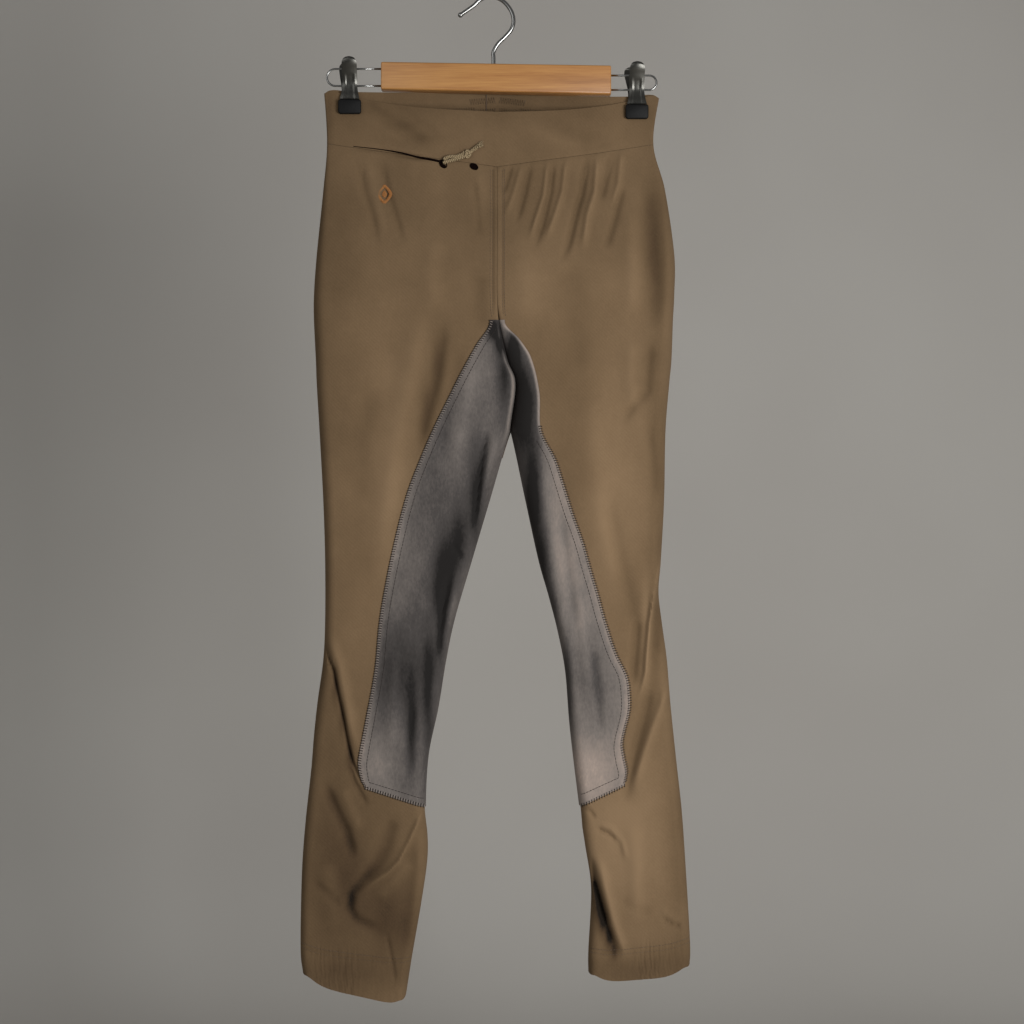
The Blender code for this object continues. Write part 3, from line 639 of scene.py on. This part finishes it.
def solid(name, points, faces, mat, smooth=True):
    mesh = bpy.data.meshes.new(name)
    mesh.from_pydata((np.asarray(points, float) * MM).tolist(), [], faces)
    mesh.materials.append(mat)
    mesh.polygons.foreach_set("use_smooth", [smooth] * len(mesh.polygons))
    mesh.update()
    made = bpy.data.objects.new(name, mesh)
    bpy.context.collection.objects.link(made)
    return made


def finish_piece(made, slot, *nodes):
    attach(made, "root")
    if nodes:
        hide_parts(*nodes)
    return made


def quads(n, m, first=0):
    a = (np.arange(n - 1)[:, None] * m + np.arange(m - 1)[None, :]).ravel() + first
    return np.stack([a, a + 1, a + m + 1, a + m], axis=1)


def border(n, m):
    return np.array([j for j in range(m)] + [i * m + m - 1 for i in range(1, n)]
                    + [(n - 1) * m + j for j in range(m - 2, -1, -1)]
                    + [i * m for i in range(n - 2, 0, -1)])


def inner_side(grid, way):
    """Every second point of a wall's inner grid, each as deep as the deepest of those around it, so
    that the plainer side never cuts through a narrow fold."""
    deep = grid[..., 1].copy()
    for axis in (0, 1):
        for shift in (-1, 1):
            moved = np.roll(deep, shift, axis)
            deep = np.maximum(deep, moved) if way > 0 else np.minimum(deep, moved)
    grid = grid.copy()
    grid[2:-2, 2:-2, 1] = deep[2:-2, 2:-2]
    return grid[::2, ::2]


def wall(name, outer, inner, mat, out_face=True, inward=0):
    """Closed cloth between two equal grids of points. With inward, the way along Y from the outer
    side to the inner one, the inner side has every second point only."""
    n, m = outer.shape[:2]
    if inward:
        inner = inner_side(inner, inward)
    k, l = inner.shape[:2]
    points = np.concatenate([outer.reshape(-1, 3), inner.reshape(-1, 3)])
    faces = quads(n, m).tolist() + quads(k, l, n * m)[:, ::-1].tolist()
    ids, under = border(n, m), border(k, l) + n * m
    step = 2 if inward else 1
    for i, (a, b) in enumerate(zip(under, np.roll(under, -1))):
        edge = [int(ids[(i * step + j) % len(ids)]) for j in range(step + 1)]
        faces.append([edge[0], int(a), int(b)] + edge[:0:-1])
    if not out_face:
        faces = [face[::-1] for face in faces]
    made = solid(name, points, faces, mat)
    sharp = made.modifiers.new("crisp", "EDGE_SPLIT")
    sharp.split_angle = math.radians(50)
    return made


def strands(name, paths, radius, mat, sides=5):
    """Round threads or rods along paths, all in one mesh. radius may be one per point."""
    points, faces = [], []
    turn = 2 * math.pi * np.arange(sides) / sides
    for path in paths:
        path = np.asarray(path, float)
        tangent = np.gradient(path, axis=0)
        tangent /= np.linalg.norm(tangent, axis=1)[:, None]
        side = np.cross(tangent, ALONG_Y)
        side /= np.maximum(np.linalg.norm(side, axis=1), 1e-6)[:, None]
        rise = np.cross(side, tangent)
        r = np.broadcast_to(np.asarray(radius, float), (len(path),))[:, None, None]
        ring = path[:, None, :] + r * (np.cos(turn)[None, :, None] * side[:, None, :]
                                       + np.sin(turn)[None, :, None] * rise[:, None, :])
        first = len(points)
        points.extend(ring.reshape(-1, 3).tolist())
        for i in range(len(path) - 1):
            for j in range(sides):
                k = (j + 1) % sides
                a, b = first + i * sides, first + (i + 1) * sides
                faces.append((a + j, b + j, b + k, a + k))
        faces.append(tuple(first + j for j in range(sides)))
        last = first + (len(path) - 1) * sides
        faces.append(tuple(last + j for j in range(sides - 1, -1, -1)))
    return solid(name, points, faces, mat)


def thread(slot, name, paths, radius, mat, sides=5):
    return finish_piece(strands(name, paths, radius, mat, sides), slot)


def steps(first, last, count):
    return [first + (last - first) * i / count for i in range(count)]


def columns(*counts):
    """A grid's places across a panel: this many in each of the four zones, and the seam."""
    return [(zone, t) for zone, count in enumerate(counts) for t in steps(0, 1, count)] + [(3, 1)]


def levels(*counts):
    """A grid's places down a leg: this many from band to patch, along the patch, to the hem, in it."""
    a, b, c, d = counts
    return np.concatenate([np.linspace(1.006, 5, a + 1)[:-1], np.linspace(5, 15, b + 1)[:-1],
                           np.linspace(15, 17.97, c), np.linspace(18.03, 19, d)])


# Finer in front, where the photo shows the folds. All counts leave an even number of steps.
COUNTS = {"front": (8, 96, 30, 10), "back": (8, 56, 26, 10)}
ACROSS = {face: columns(*counts) for face, counts in COUNTS.items()}
PATCH_FROM = {face: counts[0] + counts[1] for face, counts in COUNTS.items()}
DOWN = {"front": levels(92, 230, 66, 17), "back": levels(60, 150, 50, 15)}
BAND_DOWN = np.linspace(0, 1, 25)


def view_from_photo():
    """Camera straight in front. The picture's middle is that of the photo, and it spans 1106 mm in the
    plane of the hook."""
    data = bpy.data.cameras.new("camera")
    made = bpy.data.objects.new("camera", data)
    bpy.context.collection.objects.link(made)
    away, span, middle_x, middle_z = 2.0, 1.10592, 0.02376, -0.55458
    made.location = (middle_x, -away, middle_z)
    made.rotation_euler = (math.pi / 2, 0, 0)
    data.sensor_width = 36
    data.lens = 36 * away / span
    bpy.context.scene.camera = made


def soft_lights():
    """A wide soft lamp low at the right in front, a weak one at the left, and an even grey sky."""
    for name, place, size, power, aim in (
            ("key", (1.05, -1.5, -0.55), 0.9, 34, (0.03, 0.0, -0.6)),
            ("fill", (-1.4, -1.7, 0.2), 1.6, 10.5, (0.0, 0.0, -0.5))):
        data = bpy.data.lights.new(name, "AREA")
        data.size, data.energy = size, power
        made = bpy.data.objects.new(name, data)
        made.location = place
        line = np.array(aim) - np.array(place)
        made.rotation_euler = (math.atan2(math.hypot(line[0], line[1]), -line[2]), 0,
                               math.atan2(line[1], line[0]) - math.pi / 2)
        bpy.context.collection.objects.link(made)
    world = bpy.data.worlds.new("studio")
    world.use_nodes = True
    world.node_tree.nodes["Background"].inputs[0].default_value = colour("#d2d2d2")
    world.node_tree.nodes["Background"].inputs[1].default_value = 0.32
    bpy.context.scene.world = world
    bpy.context.scene.view_settings.view_transform = "Standard"


def backdrop():
    """Pale floor that curves up into a wall behind the hanger."""
    bend, wall_y, floor_z, top = 0.5, 1.3, -1.35, 2.2
    side = [(-4.0, floor_z)] + [
        (wall_y - bend + bend * math.sin(a), floor_z + bend - bend * math.cos(a))
        for a in np.linspace(0, math.pi / 2, 14)] + [(wall_y, top)]
    points = [(x * 1000, y * 1000, z * 1000) for y, z in side for x in (-9.0, 9.0)]
    faces = [(2 * i, 2 * i + 1, 2 * i + 3, 2 * i + 2) for i in range(len(side) - 1)]
    solid("backdrop", points, faces, painted_wall())


def hem_wall(down):
    return np.where(np.asarray(down)[:, None] > HEM_LINE, HEM, CLOTH)


def paint(made, spots, face, base=CLOTH_BASE):
    """Give each point its tone, for the material to read: the spots, with painted shade in the troughs
    and a painted highlight on the ridges. base is one value, or one for each point of the outer side."""
    flat = np.empty(3 * len(made.data.vertices), np.float32)
    made.data.vertices.foreach_get("co", flat)
    x, _, z = flat.reshape(-1, 3).T / MM
    # Painted shade and highlight: the spots, and the troughs darker and the ridges paler.
    value = tones(spots, x, z) + RELIEF_SHADING * folds(face, x, z)
    base = np.ravel(base)
    value += base[0]
    value[:len(base)] += base - base[0]
    layer = made.data.attributes.new("tone", "FLOAT", "POINT")
    layer.data.foreach_set("value", value.astype(np.float32))


def panel(face, leg, mat):
    down, across = DOWN[face], ACROSS[face]
    r = sections(leg, face, down)
    thick = hem_wall(down)
    outer = lay(r, spread(r, across, 0.0), 0.0)
    inner = lay(r, spread(r, across, -thick), -thick)
    made = wall(face + "_" + leg + "_cloth", outer, inner, mat,
                (face == "front") == (leg == "left"), 1 if face == "front" else -1)
    paint(made, CLOTH_LIGHT_AND_SHADE[face], face)
    finish_piece(made, "cloth", face + "_" + leg)
    return made


def patch(name, face, leg, top, mat):
    down = DOWN[face]
    down = np.concatenate([[top], down[(down > top + 0.01) & (down < PATCH_FOOT)], [PATCH_FOOT]])
    across = ACROSS[face][PATCH_FROM[face]:]
    r = sections(leg, face, down)
    low = lay(r, spread(r, across, LIFT), LIFT)
    s = spread(r, across, LIFT + SUEDE)
    high = lay(r, s, LIFT + SUEDE)
    made = wall(name + "_grip", high, low, mat, (face == "front") == (leg == "left"))
    # The stitched rim is rubbed paler than the rest.
    rim_wear_and_highlight = np.exp(-((s - r["edge"]) / 6) ** 2) * (0.07 + 0.12 * ease((r["v"] - 9) / 5))
    if face == "front":
        # Under the fork both patches get a painted highlight along their rolled edge: the right one at the
        # inner leg, the left one where the cloth folds over it.
        line = r["width"] - 3.0 if leg == "right" else r["edge"] + 1.2
        high_up = ease((r["v"] - 5) / 0.3) * (1 - ease((r["v"] - 7.8) / 0.6))
        rim_wear_and_highlight = rim_wear_and_highlight + 0.34 * high_up * np.exp(-((s - line) / 1.8) ** 2)
    paint(made, SUEDE_WEAR_AND_SHADE[face + "_" + leg], face, (0.32 if leg == "right" else 0.47) + rim_wear_and_highlight)
    finish_piece(made, "suede", name)
    return made


def band(face, mat):
    grids = []
    for off in (0.0, -BAND):
        halves = []
        for leg in ("right", "left"):
            r = sections(leg, face, BAND_DOWN)
            r["width"] = r["width"] + GAP
            s = spread(r, ACROSS[face], off)
            halves.append(lay(r, s, off))
        grids.append(np.concatenate([halves[0], halves[1][:, -2::-1]], axis=1))
    made = wall("waistband_" + face + "_cloth", grids[0], grids[1], mat, face == "back")
    paint(made, CLOTH_LIGHT_AND_SHADE[face], face)
    finish_piece(made, "cloth", "waistband_" + face)
    return made


def distances(path):
    """How far along a path each of its points lies."""
    return np.concatenate([[0], np.cumsum(np.linalg.norm(np.diff(path, axis=0), axis=1))])


def stitch_rows(leg, face, line, out, length=2.9, space=0.7):
    """Straight stitches along a line given as (level, distance from the side seam) pairs."""
    down, s = np.array([p[0] for p in line]), np.array([p[1] for p in line])
    r = sections(leg, face, down)
    spots = lay(r, s[:, None], out)[:, 0]
    gone = distances(spots)
    rows = []
    for start in np.arange(0, gone[-1] - length, length + space):
        at = np.linspace(start, start + length, 4)
        row = np.stack([np.interp(at, gone, spots[:, k]) for k in range(3)], axis=1)
        row[[0, -1], 1] += 0.22 if face == "front" else -0.22
        rows.append(row)
    return rows


def overcast(leg, face, top, pitch, out, over):
    """The sewn edge of a patch, down its side and along its foot: dark strokes across the edge, from
    out millimetres on the cloth to over millimetres on the suede, and the pale thread that runs back
    between them."""
    top_of = LIFT + SUEDE
    # A stroke's four points: distance inside the edge, and height over the cloth.
    stroke = ((-out, 0.35), (-0.25, 0.95), (0.35, top_of + 0.22), (over, top_of + 0.12))
    fine = np.linspace(top, PATCH_FOOT, 1600)
    r = sections(leg, face, fine)
    gone = distances(lay(r, r["edge"], top_of)[:, 0])
    at = np.interp(np.arange(1.0, gone[-1], pitch / 2), gone, fine)
    r = sections(leg, face, at)
    side = [lay(r, r["edge"] + inside, rise)[:, 0] for inside, rise in stroke]
    r = sections(leg, face, [PATCH_FOOT])
    s = np.arange(float(r["edge"][0, 0]) + 0.5, float(r["width"][0, 0]) - 0.8, pitch / 2)
    before = sections(leg, face, [PATCH_FOOT - 0.1])
    level_mm = float(abs(height(before, s[:1]) - height(r, s[:1]))[0, 0]) * 10
    foot = [lay(sections(leg, face, [PATCH_FOOT - inside / level_mm]), s[None, :], rise)[0]
            for inside, rise in stroke]
    dark, pale = [], []
    for rows in (np.array(side), np.array(foot)):
        for i in range(0, rows.shape[1] - 1, 2):
            dark.append(rows[:, i])
            pale.append([rows[1, i], rows[2, i] * 0.6 + rows[2, i + 1] * 0.4, rows[3, i + 1]])
    return dark, pale


def patch_line(leg, face, top, inside):
    """Level and distance pairs along a patch's edge, inside it by the given millimetres."""
    side = np.linspace(top + 0.25, PATCH_FOOT - inside / 54, 420)
    r = sections(leg, face, side)
    pairs = list(zip(side, (r["edge"][:, 0] + inside)))
    foot = sections(leg, face, [PATCH_FOOT])
    last = float(foot["width"][0, 0]) - 1.5
    for s in np.linspace(pairs[-1][1] + 1.5, last, 60):
        pairs.append((PATCH_FOOT - inside / 54, s))
    return pairs


def sewing(dark, tan, pale):
    for leg in ("right", "left"):
        for face, top, name in (("front", FRONT_PATCH, "front"), ("back", SEAT_PATCH, "seat")):
            out, over = (0.9, 3.0) if leg == "right" else (1.9, 2.0)
            # High on the left leg the cloth folds over the patch's edge and hides its sewing.
            seen = 7.9 if (leg, face) == ("left", "front") else top
            strokes, returns = overcast(leg, face, seen, 2.7, out, over)
            thread("suede", "overcast_" + name + "_" + leg, strokes, 0.52, dark)
            thread("suede", "return_" + name + "_" + leg, returns, 0.3, pale, 4)
            rows = stitch_rows(leg, face, patch_line(leg, face, seen, 9.0), LIFT + SUEDE + 0.06)
            thread("suede", "row_" + name + "_" + leg, rows, 0.34, dark, 4)
        rows = []
        for face in ("front", "back"):
            for level in (HEM_LINE - 0.02, HEM_LINE - 0.1):
                r = sections(leg, face, [level])
                s = np.linspace(1.0, float(r["width"][0, 0]) - 1.0, 160)
                rows += stitch_rows(leg, face, [(level, d) for d in s], 0.1, 2.4, 0.8)
        levels = np.linspace(1.08, 4.9, 200)
        for face in ("front", "back"):
            r = sections(leg, face, levels)
            for inside in (5.2, 7.4):
                line = list(zip(levels, (r["width"][:, 0] - inside)))
                rows += stitch_rows(leg, face, line, 0.1, 2.4, 0.8)
        thread("cloth", "topstitch_" + leg, rows, 0.24, tan, 4)
    # Elastic sewn into the back of the band: rows of zigzag on its inner side.
    paths = []
    for level, first, last in ((0.14, 30.0, 2.0), (0.27, 62.0, 24.0), (0.3, 70.0, 2.0)):
        for leg in ("right", "left"):
            r = sections(leg, "back", [level])
            wide = float(r["width"][0, 0])
            s = np.arange(wide - first, wide - last, 1.3)
            low = lay(sections(leg, "back", [level + 0.09]), s[None, :], -BAND - 0.2)[0]
            high = lay(r, s[None, :], -BAND - 0.2)[0]
            paths.append([low[i] if i % 2 else high[i] for i in range(len(s))])
    thread("cloth", "elastic_stitch", paths, 0.28, tan, 4)


def centre_back_seam(mat):
    """The seam down the middle of the back: on the band's inner side, and between the back panels,
    where its threads close the narrow gap."""
    r = sections("right", "back", np.linspace(1.05, 8.4, 150))
    path = lay(r, r["width"] + GAP, -0.6)[:, 0]
    thread("cloth", "seat_seam", [path], 0.5, mat, 6)
    r = sections("right", "back", np.linspace(0.01, 0.99, 24))
    path = lay(r, r["width"] - 12.0, -BAND - 0.2)[:, 0]
    thread("cloth", "band_back_seam", [path], 0.6, mat, 6)


# The middle lines of the cord's two strands, from the slot to the free end and to the knot.
CORD_LOW = ((-50, -11.9, -179.6), (-41, -12.9, -177.2), (-31, -14, -174.6), (-24.5, -15, -171.6),
            (-20.5, -15.5, -168.4), (-16, -15.4, -165), (-10.5, -15.6, -161.2))
CORD_TOP = ((-49.5, -11.9, -175.6), (-43.5, -12.7, -173.4), (-36, -13.5, -173.2),
            (-30, -14.3, -171.3), (-27.2, -14.6, -169.2))


def spline(points, per):
    points = np.asarray(points, float)
    t = np.linspace(0, len(points) - 1, (len(points) - 1) * per + 1)
    return np.stack([curve(range(len(points)), points[:, k], t) for k in range(3)], axis=1)


def braid(path, radius, turn_mm, count=3):
    """Strands wound round each other along a path, one turn in turn_mm. radius may be one per point."""
    radius = np.broadcast_to(np.asarray(radius, float), (len(path),))[:, None]
    gone = distances(path)
    tangent = np.gradient(path, axis=0)
    tangent /= np.linalg.norm(tangent, axis=1)[:, None]
    side = np.cross(tangent, ALONG_Y)
    side /= np.linalg.norm(side, axis=1)[:, None]
    rise = np.cross(side, tangent)
    made = []
    for k in range(count):
        a = 2 * math.pi * (gone / turn_mm + k / count)
        made.append(path + radius * (np.cos(a)[:, None] * side + np.sin(a)[:, None] * rise))
    return made


def drawcord(mat):
    low = spline(CORD_LOW, 26)
    undone = ease((np.linspace(0, 1, len(low)) - 0.72) / 0.28)
    main = strands("drawcord_braid", braid(low, 1.2 + 1.0 * undone, 8.0), 0.9 - 0.5 * undone, mat, 6)
    finish_piece(main, "cord", "drawcord")
    top = spline(CORD_TOP, 26)
    loop = strands("drawcord_strand", braid(top, 1.2, 8.0), 0.9, mat, 6)
    finish_piece(loop, "cord", "drawcord_loop")
    knot_at = np.array(CORD_LOW[3]) + (0.9, -0.6, 0.8)
    t = np.linspace(0, 2 * math.pi, 90)
    ring = np.stack([(2.1 + 0.8 * np.cos(3 * t)) * np.cos(2 * t), 0.9 * np.sin(3 * t),
                     (3.0 + 1.1 * np.cos(3 * t)) * np.sin(2 * t)], axis=1)
    knot = thread("cord", "drawcord_knot", [knot_at + ring], 1.0, mat, 7)
    end, before = low[-1], low[-8]
    step = (end - before) / np.linalg.norm(end - before)
    ends = []
    for i in range(20):
        a = 2.4 * i
        lean = np.array([math.cos(a), 0.3 * math.sin(a) - 0.2, math.sin(a)])
        reach = 1.0 + 0.6 * (i % 4)
        ends.append([end - step * 8 + lean * 0.5, end - step * 3 + lean * 1.6,
                     end + step * reach + lean * (2.6 + 0.3 * (i % 3))])
    fray = thread("cord", "drawcord_fray", ends, (0.4, 0.32, 0.14), mat, 4)


def touch(x, z, first, last):
    """How far along Y the right front stands at (x, z), between two levels."""
    r = sections("right", "front", np.linspace(first, last, 240))
    spots = lay(r, x - r["out_x"], 0.0)[:, 0]
    return float(spots[np.argmin(np.abs(spots[:, 2] - z)), 1])


def seam_roll(dark):
    """A near-black thread laid in the gap under the band's seam where it rolls over, right of the cord: a
    painted shadow.
    """
    line = spline([(-147.3, 0, -160.1), (-118.3, 0, -163.4), (-96.8, 0, -167.2), (-75.1, 0, -172.8),
                   (-56, 0, -177.2), (-49, 0, -179.4)], 8)
    line[:, 1] = [touch(x, z, 0.8, 1.3) for x, _, z in line]
    radii = 0.4 + 0.9 * ease(np.linspace(0, 1.4, len(line)))
    thread("cloth", "band_seam_painted_shadow", [line], radii, dark, 6)


def eyelets(dark):
    """Two sewn slots in the seam that the cord comes out of: in each hole a near-black sheet of painted
    shade, ringed by its sewn edge in the same black.
    """
    rings, holes, faces = [], [], []
    for x, z, tilt, wide, tall in ((-50.2, -180.6, 0.9, 4.8, 3.2), (-17.0, -184.0, 0.5, 4.4, 2.9)):
        near = touch(x, z, 0.85, 1.3)
        t = np.linspace(0, 2 * math.pi, 25)
        ux, uz = math.cos(tilt), math.sin(tilt)
        ring = np.stack([x + wide * np.cos(t) * ux - tall * np.sin(t) * uz, np.full(25, near - 0.35),
                         z - wide * np.cos(t) * uz - tall * np.sin(t) * ux], axis=1)
        rings.append(ring)
        first = len(holes)
        holes += [tuple(p - (0, -0.1, 0)) for p in ring[:-1]] + [tuple(p + (0, 0.5, 0)) for p in ring[:-1]]
        faces += [tuple(first + i for i in range(24)), tuple(first + 47 - i for i in range(24))]
        faces += [(first + i, first + 24 + i, first + 24 + (i + 1) % 24, first + (i + 1) % 24)
                  for i in range(24)]
    finish_piece(solid("cord_slot_shadow", holes, faces, dark, False), "cloth")
    thread("cloth", "cord_slot_edge", rings, 0.55, dark, 6)


def hip_motif(mat):
    """A plain sewn lozenge on the right hip: its outline and its centre in rows of satin stitch."""
    cx, cz, half_w, half_h = -113.6, -212.6, 8.4, 11.4
    rows = []
    for z in np.arange(-half_h + 0.6, half_h, 1.1):
        outer = half_w * (1 - (abs(z) / half_h) ** 1.6)
        hole = 0.58 * half_w * (1 - (abs(z) / (0.66 * half_h)) ** 1.6)
        core = 0.34 * half_w * (1 - (abs(z) / (0.4 * half_h)) ** 1.6)
        if outer < 1:
            continue
        spans = [(-outer, outer)] if hole <= 0.5 else [(-outer, -hole), (hole, outer)]
        if core > 0.5:
            spans.append((-core, core))
        y = touch(cx, cz + z, 1.3, 2.9)
        rows += [[(cx + a + (b - a) * t, y - 0.25 - 0.35 * math.sin(math.pi * t), cz + z)
                  for t in np.linspace(0, 1, 5)] for a, b in spans]
    thread("cloth", "hip_motif", rows, 0.52, mat)


def rounded(spans, corners, each):
    """Corner points of a rounded rectangle: for each corner's centre, given by its signs, the centre
    and the unit vector outwards. each is the number of points to a corner."""
    for (a, b), first in zip(corners, (0, 90, 180, 270)):
        for turn in np.linspace(0, 90, each):
            w = math.radians(first + turn)
            yield a * spans[0], b * spans[1], math.cos(w), math.sin(w)


def bar(mat):
    """Wooden bar with its long edges eased and its ends cut square: (x, top, foot) of both ends."""
    ends = ((-117.3, -70.0, -99.5), (130.4, -74.0, -105.0))
    half, round_r = 8.5, 2.0
    outline = [(cy + round_r * c, up, round_r * s) for cy, up, c, s in
               rounded((half - round_r, 1), ((1, 1), (-1, 1), (-1, 0), (1, 0)), 7)]
    points, faces = [], []
    n = len(outline)
    stops = (0, 0.0025, 0.006, 0.5, 0.994, 0.9975, 1)
    for i, t in enumerate(stops):
        take = (0.9, 0.3, 0, 0, 0, 0.3, 0.9)[i]
        x = ends[0][0] + (ends[1][0] - ends[0][0]) * t
        top = ends[0][1] + (ends[1][1] - ends[0][1]) * t - take
        foot = ends[0][2] + (ends[1][2] - ends[0][2]) * t + take
        for y, up, dz in outline:
            shrink = 1 - take / half
            points.append((x, y * shrink, (top - round_r if up else foot + round_r) + dz))
    for i in range(len(stops) - 1):
        for j in range(n):
            k = (j + 1) % n
            faces.append((i * n + j, i * n + k, (i + 1) * n + k, (i + 1) * n + j))
    faces += [tuple(range(n - 1, -1, -1)), tuple((len(stops) - 1) * n + j for j in range(n))]
    made = solid("wooden_bar", points, faces, mat)
    made.modifiers.new("crisp", "EDGE_SPLIT").split_angle = math.radians(40)
    finish_piece(made, "wood", "hanger_bar")


# The hook's middle line, (x, z), from the bar to the point.
HOOK = ((3.8, -71.7), (3.8, -64), (3.8, -57.8), (8.6, -49.1), (16.2, -41.6), (22.7, -34), (25.4, -25.4),
        (23.8, -15.7), (18.4, -7), (10.8, -0.8), (0, 2.2), (-10.8, -1.6), (-17.3, -7.6),
        (-24.6, -12.8), (-30.2, -16.7))


def hook(mat):
    path = spline([(x, 0, z) for x, z in HOOK], 10)
    radii = [HOOK_R] * len(path)
    end = path[-1]
    step = (path[-1] - path[-3]) / np.linalg.norm(path[-1] - path[-3])
    tip = [(0.6, 2.5), (1.4, 2.75), (2.2, 2.8), (3.0, 2.7), (3.8, 2.3), (4.3, 1.8), (4.7, 1.1), (4.9, 0.4)]
    path = np.concatenate([path, [end + step * d for d, _ in tip]])
    radii += [r for _, r in tip]
    finish_piece(strands("wire_hook", [path], radii, mat, 16), "chrome", "hanger_hook")


def rod(name, start, end, top, foot, mat):
    r = (top - foot) / 2
    way = 1 if end > start else -1
    centre = end - way * (r + WIRE_R)
    path = [(start, 0, top), (start + (centre - start) * 0.5, 0, top)]
    for a in np.linspace(0, math.pi, 33):
        path.append((centre + way * r * math.sin(a), 0, (top + foot) / 2 + r * math.cos(a)))
    path += [(start + (centre - start) * 0.5, 0, foot), (start, 0, foot)]
    finish_piece(strands("wire_" + name, [path], WIRE_R, mat, 12), "chrome", "hanger_rod_" + name)


# Side view of a jaw: (drop below its top, distance from the middle plane, half width).
JAW = ((0, 12.6, 2.2), (0.9, 13.1, 4.8), (3.0, 13.2, 7.0), (7, 11.8, 8.1), (12, 8.6, 8.2),
       (19, 4.8, 8.1), (24, 2.7, 8.0), (28, 1.9, 8.0), (34, 2.5, 8.6), (39, 3.6, 9.6), (43.3, 4.2, 10.6))
JAW_ARCH = 1.2
JAW_DROP = 3.9      # the rounded head stands this much lower than the plain one of the construction
REAR_LEAN = 5.0     # the clips hang a little turned, so the rear heads show past the front ones


def jaw(name, x0, top, way, mat):
    """Pressed steel jaw: domed head, a channel pressed down its middle, flaring to the tip."""
    drop = np.array([j[0] for j in JAW])
    foot = JAW[-1][0]
    at = np.concatenate([np.linspace(0, 4, 12)[:-1], np.linspace(4, foot, 52)])
    y = curve(drop, [j[1] for j in JAW], at)
    half = curve(drop, [j[2] for j in JAW], at)
    tilt = np.gradient(y, at)
    size = np.hypot(1, tilt)
    t = np.linspace(-1, 1, 25)[None, :]
    channel = (ease((at - 15) / 4) * ease((foot + 3 - at) / 4))[:, None]
    pressed = -0.75 * channel * np.exp(-(t / 0.5) ** 8)
    rib = 0.3 * channel * np.exp(-((np.abs(t) - 0.7) / 0.12) ** 2)
    arch = y[:, None] + JAW_ARCH * (1 - t * t) + pressed + rib
    lean = REAR_LEAN * (1 - ease(at / foot)) if way > 0 else 0 * at
    grids = []
    for off in (SHEET / 2, -SHEET / 2):
        grids.append(np.stack(np.broadcast_arrays(
            x0 - lean[:, None] + half[:, None] * t, way * (arch + off / size[:, None]),
            (top - JAW_DROP - at + off * tilt / size)[:, None]), axis=-1))
    made = wall("jaw_" + name, grids[0], grids[1], mat, way > 0)
    finish_piece(made, "clip_steel", "clip_" + name)


PAD = (12.4, 7.9, 4.6, 3.0)  # half width, half height, thickness, corner radius


def pad(name, x0, z0, way, mat):
    half_w, half_h, thick, r = PAD
    near = CLIP_DEPTH + 2 * GAP
    rings = []
    for y, take in ((near, 0.8), (near + 0.3, 0.25), (near + 0.8, 0), (near + thick - 1.2, 0),
                    (near + thick - 0.4, 0.35), (near + thick, 1.2)):
        rings.append([(x0 + cx + (r - take) * c, way * y, z0 + cz + (r - take) * s) for cx, cz, c, s in
                      rounded((half_w - r, half_h - r), ((1, 1), (-1, 1), (-1, -1), (1, -1)), 6)])
    n = len(rings[0])
    points = [p for ring in rings for p in ring]
    faces = [tuple(range(n)), tuple(range(len(rings) * n - 1, (len(rings) - 1) * n - 1, -1))]
    for i in range(len(rings) - 1):
        faces += [(i * n + j, (i + 1) * n + j, (i + 1) * n + (j + 1) % n, i * n + (j + 1) % n)
                  for j in range(n)]
    if way > 0:
        faces = [f[::-1] for f in faces]
    finish_piece(solid("tip_" + name, points, faces, mat), "rubber", "pad_" + name)


# Each side's clip and wire: name, x of the clip, top of its head, middle of its tip, start and end of
# the wire, its upper and lower line.
ENDS = (
    ("right", -151.2, -62.1, -117.7, -117.6, -177.1, -76.1, -94.5),
    ("left", 158.4, -67.5, -123.1, 130.7, 180.9, -83.2, -98.8),
)


def main():
    view_from_photo()
    cord_mat = braided_cotton()
    drawcord(cord_mat)
    soft_lights()
    backdrop()
    cloth = cotton_twill()
    suede = suede_grip()
    dark = spun_thread("dark_thread", "#1f1611", 0.3)
    tan = spun_thread("tan_thread", "#4a3826")
    pale = spun_thread("pale_thread", "#8d8178")
    for face in ("front", "back"):
        band(face, cloth)
        for leg in ("right", "left"):
            panel(face, leg, cloth)
    for leg in ("right", "left"):
        patch("suede_front_" + leg, "front", leg, FRONT_PATCH, suede)
        patch("suede_seat_" + leg, "back", leg, SEAT_PATCH, suede)
    sewing(dark, tan, pale)
    centre_back_seam(tan)
    # Near-black for painted shade: the holes of the cord slots and the shadow under the band's seam.
    shade = spun_thread("shade_black_thread", "#0c0504", 0.02)
    eyelets(shade)
    seam_roll(shade)
    hip_motif(spun_thread("rust_thread", "#9a6226"))
    bar(lacquered_wood())
    chrome = plated_steel("chromed_wire", "#8c8c8a", 0.2)
    steel = plated_steel("pressed_steel", "#54534f", 0.33)
    rubber = black_rubber()
    hook(chrome)
    for name, x0, jaw_top, pad_z, start, end, wire_top, wire_foot in ENDS:
        rod(name, start, end, wire_top, wire_foot, chrome)
        for tail, way in (("", -1), ("_rear", 1)):
            jaw(name + tail, x0, jaw_top, way, steel)
            pad(name + tail, x0, pad_z, way, rubber)


main()
